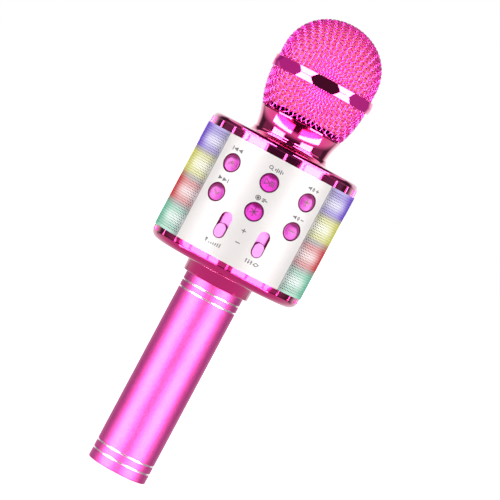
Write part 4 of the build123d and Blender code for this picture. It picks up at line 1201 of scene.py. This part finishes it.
def key_signs():
    scan = [bar(-2.2, 0, 0.36, 3.0), bar(-1.15, 0.75, 2.5, 0.36, -35),
            bar(-1.15, -0.75, 2.5, 0.36, 35)]
    scan += [bar(x, 0, 0.36, 2.9) for x in (0.55, 1.15, 1.75, 2.35)]
    rays = [bar(1.75 * math.cos(t), 1.75 * math.sin(t), 0.8, 0.42, math.degrees(t))
            for t in [math.pi / 4 * i for i in range(8)]]
    minus = bar(0, 0, 3.9, 0.6)
    # key, turn from the front, height, shapes
    table = (
        ("prev", -KEY_TURN, KEY_HIGH_MM, [bar(-0.95, 0, 2.9, 0.5, 49), bar(0.95, 0, 2.9, 0.5, -49)]),
        ("next", -KEY_TURN, KEY_LOW_MM, [bar(-0.95, 0, 2.9, 0.5, -49), bar(0.95, 0, 2.9, 0.5, 49)]),
        ("scan", 0, KEY_HIGH_MM, scan),
        ("rec", 0, KEY_LOW_MM, [bar(0, 0, 4.3, 0.42, a) for a in (30, 90, 150)]),
        ("volume_up", KEY_TURN, KEY_HIGH_MM, [minus, bar(0, 0, 0.6, 3.9)]),
        ("volume_down", KEY_TURN, KEY_LOW_MM, [minus]),
        ("mode", 164, KEY_HIGH_MM, arc_strips(1.62, 0.55, 0, 360, 28)),
        ("light", 196, KEY_HIGH_MM, arc_strips(0.5, 0.8, 0, 360, 14) + rays),
    )
    for row in table:
        key_sign(*row)


def back_signs():
    back, sockets = 180, 134.6
    signs = Signs()
    # mode: three dots
    signs.at(HIGH_ROW, back - 16)
    for i in (-1, 0, 1):
        signs.dot(i * 1.5, 0, 0.42)
    # lights: small sun
    signs.at(HIGH_ROW, back + 16)
    signs.dot(0, 0, 0.5)
    for i in range(8):
        t = math.radians(45 * i)
        signs.dot(1.05 * math.cos(t), 1.05 * math.sin(t), 0.16, count=8)
    # power: ring with a bar
    signs.at(154.2, back)
    signs.arc(0, 0, 0.95, start=120, end=420)
    signs.bar(0, 0.75, high=1.1)
    # sockets: sound wave, branching line with dots and an arrow, bolt
    signs.at(sockets, back)
    for i, high in enumerate((0.7, 1.5, 2.0, 1.3, 0.8)):
        signs.bar(-13.4 + i * 0.7, high=high)
    signs.dot(-1.9, 0, 0.36)
    signs.bar(-0.1, wide=3.4)
    signs.triangle(1.9, 0, wide=0.9, high=0.9)
    signs.bar(0.1, 0.5, wide=0.9)
    signs.dot(0.7, 0.5, 0.26, count=10)
    signs.at(sockets, back, along=12.4)
    signs.add([(0.35, 1.0), (-0.65, -0.15), (-0.05, -0.15),
               (-0.35, -1.0), (0.65, 0.15), (0.05, 0.15)])
    signs.done("back_panel_signs")


front_signs()
key_signs()
back_signs()


# ------------------------------------------------------------------ studio
def studio_floor(half=30, z=-0.0002):
    g = Graph("studio_floor")
    tone = g.noise(scale=3.0)
    seen = g.node("ShaderNodeLightPath").outputs["Is Camera Ray"]
    g.set(color=g.mix(tone, (0.93, 0.93, 0.93), (0.90, 0.90, 0.90)), rough=0.8, spec=0.1,
          emit=(1.0, 1.0, 1.0), emit_power=g.remap(seen, span=(0, 1), to=(0.25, 1.0)))
    corners = [(-half, -half, z), (half, -half, z), (half, half, z), (-half, half, z)]
    floor = make_mesh("studio_floor", corners, [(0, 1, 2, 3)], g.mat, smooth=False)
    floor.visible_glossy = False
    floor.visible_shadow = False


def softbox(name, turn, width, low, high, distance, power, steps=6):
    """Bright curved panel seen only in reflections; turn is from the front, + to the right."""
    material = bpy.data.materials.new(name)
    material.use_nodes = True
    nodes = Nodes(material.node_tree)
    output = nodes.node("ShaderNodeOutputMaterial")
    emission = nodes.node("ShaderNodeEmission")
    emission.inputs[1].default_value = power
    nodes.link(emission.outputs[0], output.inputs[0])
    verts = []
    for i in range(steps + 1):
        angle = math.radians(turn - width / 2 + width * i / steps)
        for z in (low, high):
            verts.append((distance * math.sin(angle), -distance * math.cos(angle), z))
    faces = [(2 * i, 2 * i + 1, 2 * i + 3, 2 * i + 2) for i in range(steps)]
    made = make_mesh(name, verts, faces, material, smooth=False)
    made.visible_camera = False
    made.visible_diffuse = False
    made.visible_shadow = False
    made.visible_transmission = False


def strip_light(name, turn, rise_low, rise_high, power, distance=1.62, head_middle=0.2126):
    """Narrow bright strip, its edges given as angles above the middle of the head."""
    low, high = (head_middle + distance * math.tan(math.radians(rise))
                 for rise in (rise_low, rise_high))
    softbox(name, turn, 68, low, high, distance, power)


def area_light(name, place, size, power):
    """Area light aimed at the drum and kept out of reflections."""
    data = bpy.data.lights.new(name, "AREA")
    data.shape = "RECTANGLE"
    data.size, data.size_y = size
    data.energy = power
    made = bpy.data.objects.new(name, data)
    made.location = place
    made.rotation_mode = "QUATERNION"
    aim = Vector((0, 0, 0.14)) - Vector(place)
    made.rotation_quaternion = aim.to_track_quat("-Z", "Y")
    made.visible_glossy = False
    made.visible_camera = False
    bpy.context.scene.collection.objects.link(made)


SIDES = (("left", -1), ("right", 1))
studio_floor()
for word, side in SIDES:
    softbox(f"softbox_{word}", turn=side * 46.5, width=39, low=-0.22, high=0.61,
            distance=1.6, power=14.0)
for word, side in SIDES:
    strip_light(f"strip_high_{word}", side * 46, rise_low=22.5, rise_high=33, power=16.0)
    strip_light(f"strip_low_{word}", side * 46, rise_low=-31, rise_high=-20, power=16.0)
for word, side in SIDES:
    area_light(f"key_{word}", place=(side * 1.3, -1.3, 0.9), size=(1.0, 1.4), power=6.5)
area_light("back_fill", place=(0, 1.8, 1.2), size=(1.6, 1.2), power=9)


def studio_world():
    """White to the camera, even grey to diffuse light, and a painted studio to mirrors."""
    world = bpy.data.worlds.new("studio")
    bpy.context.scene.world = world
    world.use_nodes = True
    nodes = Nodes(world.node_tree)
    output = nodes.node("ShaderNodeOutputWorld")
    path = nodes.node("ShaderNodeLightPath")
    x, y, z = nodes.split(nodes.node("ShaderNodeTexCoord").outputs["Generated"])

    def background(strength):
        made = nodes.node("ShaderNodeBackground")
        nodes.feed(made.inputs[0], (1, 1, 1))
        nodes.feed(made.inputs[1], strength)
        return made.outputs[0]

    def step(value, span, to):
        return nodes.remap(value, span, to, smooth=True)

    def join(operation, *values):
        made = nodes.node("ShaderNodeMath", operation=operation)
        for socket, value in zip(made.inputs, values):
            nodes.link(value, socket)
        return made.outputs[0]

    def choose(ray, otherwise, chosen):
        made = nodes.node("ShaderNodeMixShader")
        for socket, value in zip(made.inputs, (path.outputs[ray], otherwise, chosen)):
            nodes.link(value, socket)
        return made.outputs[0]

    # dark studio in front, white wall behind the object, dimmer overhead
    behind = step(y, span=(0.62, 0.84), to=(0.07, 1.0))
    wall = join("MULTIPLY", behind, step(z, span=(0.75, 0.95), to=(1.0, 0.3)))
    # pale ground below
    ground = step(z, span=(-0.16, -0.36), to=(0.0, 0.95))
    # bright band high up, left out near the middle
    sideways = join("ABSOLUTE", x)
    band = join("MULTIPLY", step(z, span=(0.53, 0.57), to=(0.0, 1.3)),
                step(z, span=(0.70, 0.80), to=(1.0, 0.0)))
    band = join("MULTIPLY", band, step(sideways, span=(0.27, 0.33), to=(0.0, 1.0)))
    # a little light from the sides, between the softboxes and the white wall
    flank = join("MULTIPLY", step(sideways, span=(0.88, 0.97), to=(0.0, 0.22)),
                 step(y, span=(-0.5, -0.3), to=(0.0, 1.0)))
    mirrored = join("MAXIMUM", join("MAXIMUM", wall, ground), join("MAXIMUM", band, flank))
    unseen = choose("Is Glossy Ray", background(0.5), background(mirrored))
    shown = choose("Is Camera Ray", unseen, background(1.0))
    nodes.link(shown, output.inputs[0])


studio_world()
scene = bpy.context.scene
scene.view_settings.view_transform = "Standard"
scene.view_settings.look = "None"


# ------------------------------------------------------------------ camera
def camera(eye, target, roll, lens):
    """Camera in front of the object, rolled about its line of sight."""
    data = bpy.data.cameras.new("camera")
    made = bpy.data.objects.new("camera", data)
    scene.collection.objects.link(made)
    scene.camera = made
    data.sensor_width = 36.0
    data.lens = lens
    back = (eye - target).normalized()
    up = Vector((-math.sin(roll), 0, math.cos(roll)))
    right = up.cross(back).normalized()
    up = back.cross(right).normalized()
    made.rotation_mode = "QUATERNION"
    made.rotation_quaternion = Matrix((right, up, back)).transposed().to_quaternion()
    made.location = eye
    data.clip_start, data.clip_end = 0.05, 200


camera(eye=Vector((0.0, -1.533, 0.1696)), target=Vector((0.00705, 0.0, 0.1251)),
       roll=math.radians(28.07), lens=227.1)

bpy.context.view_layer.update()
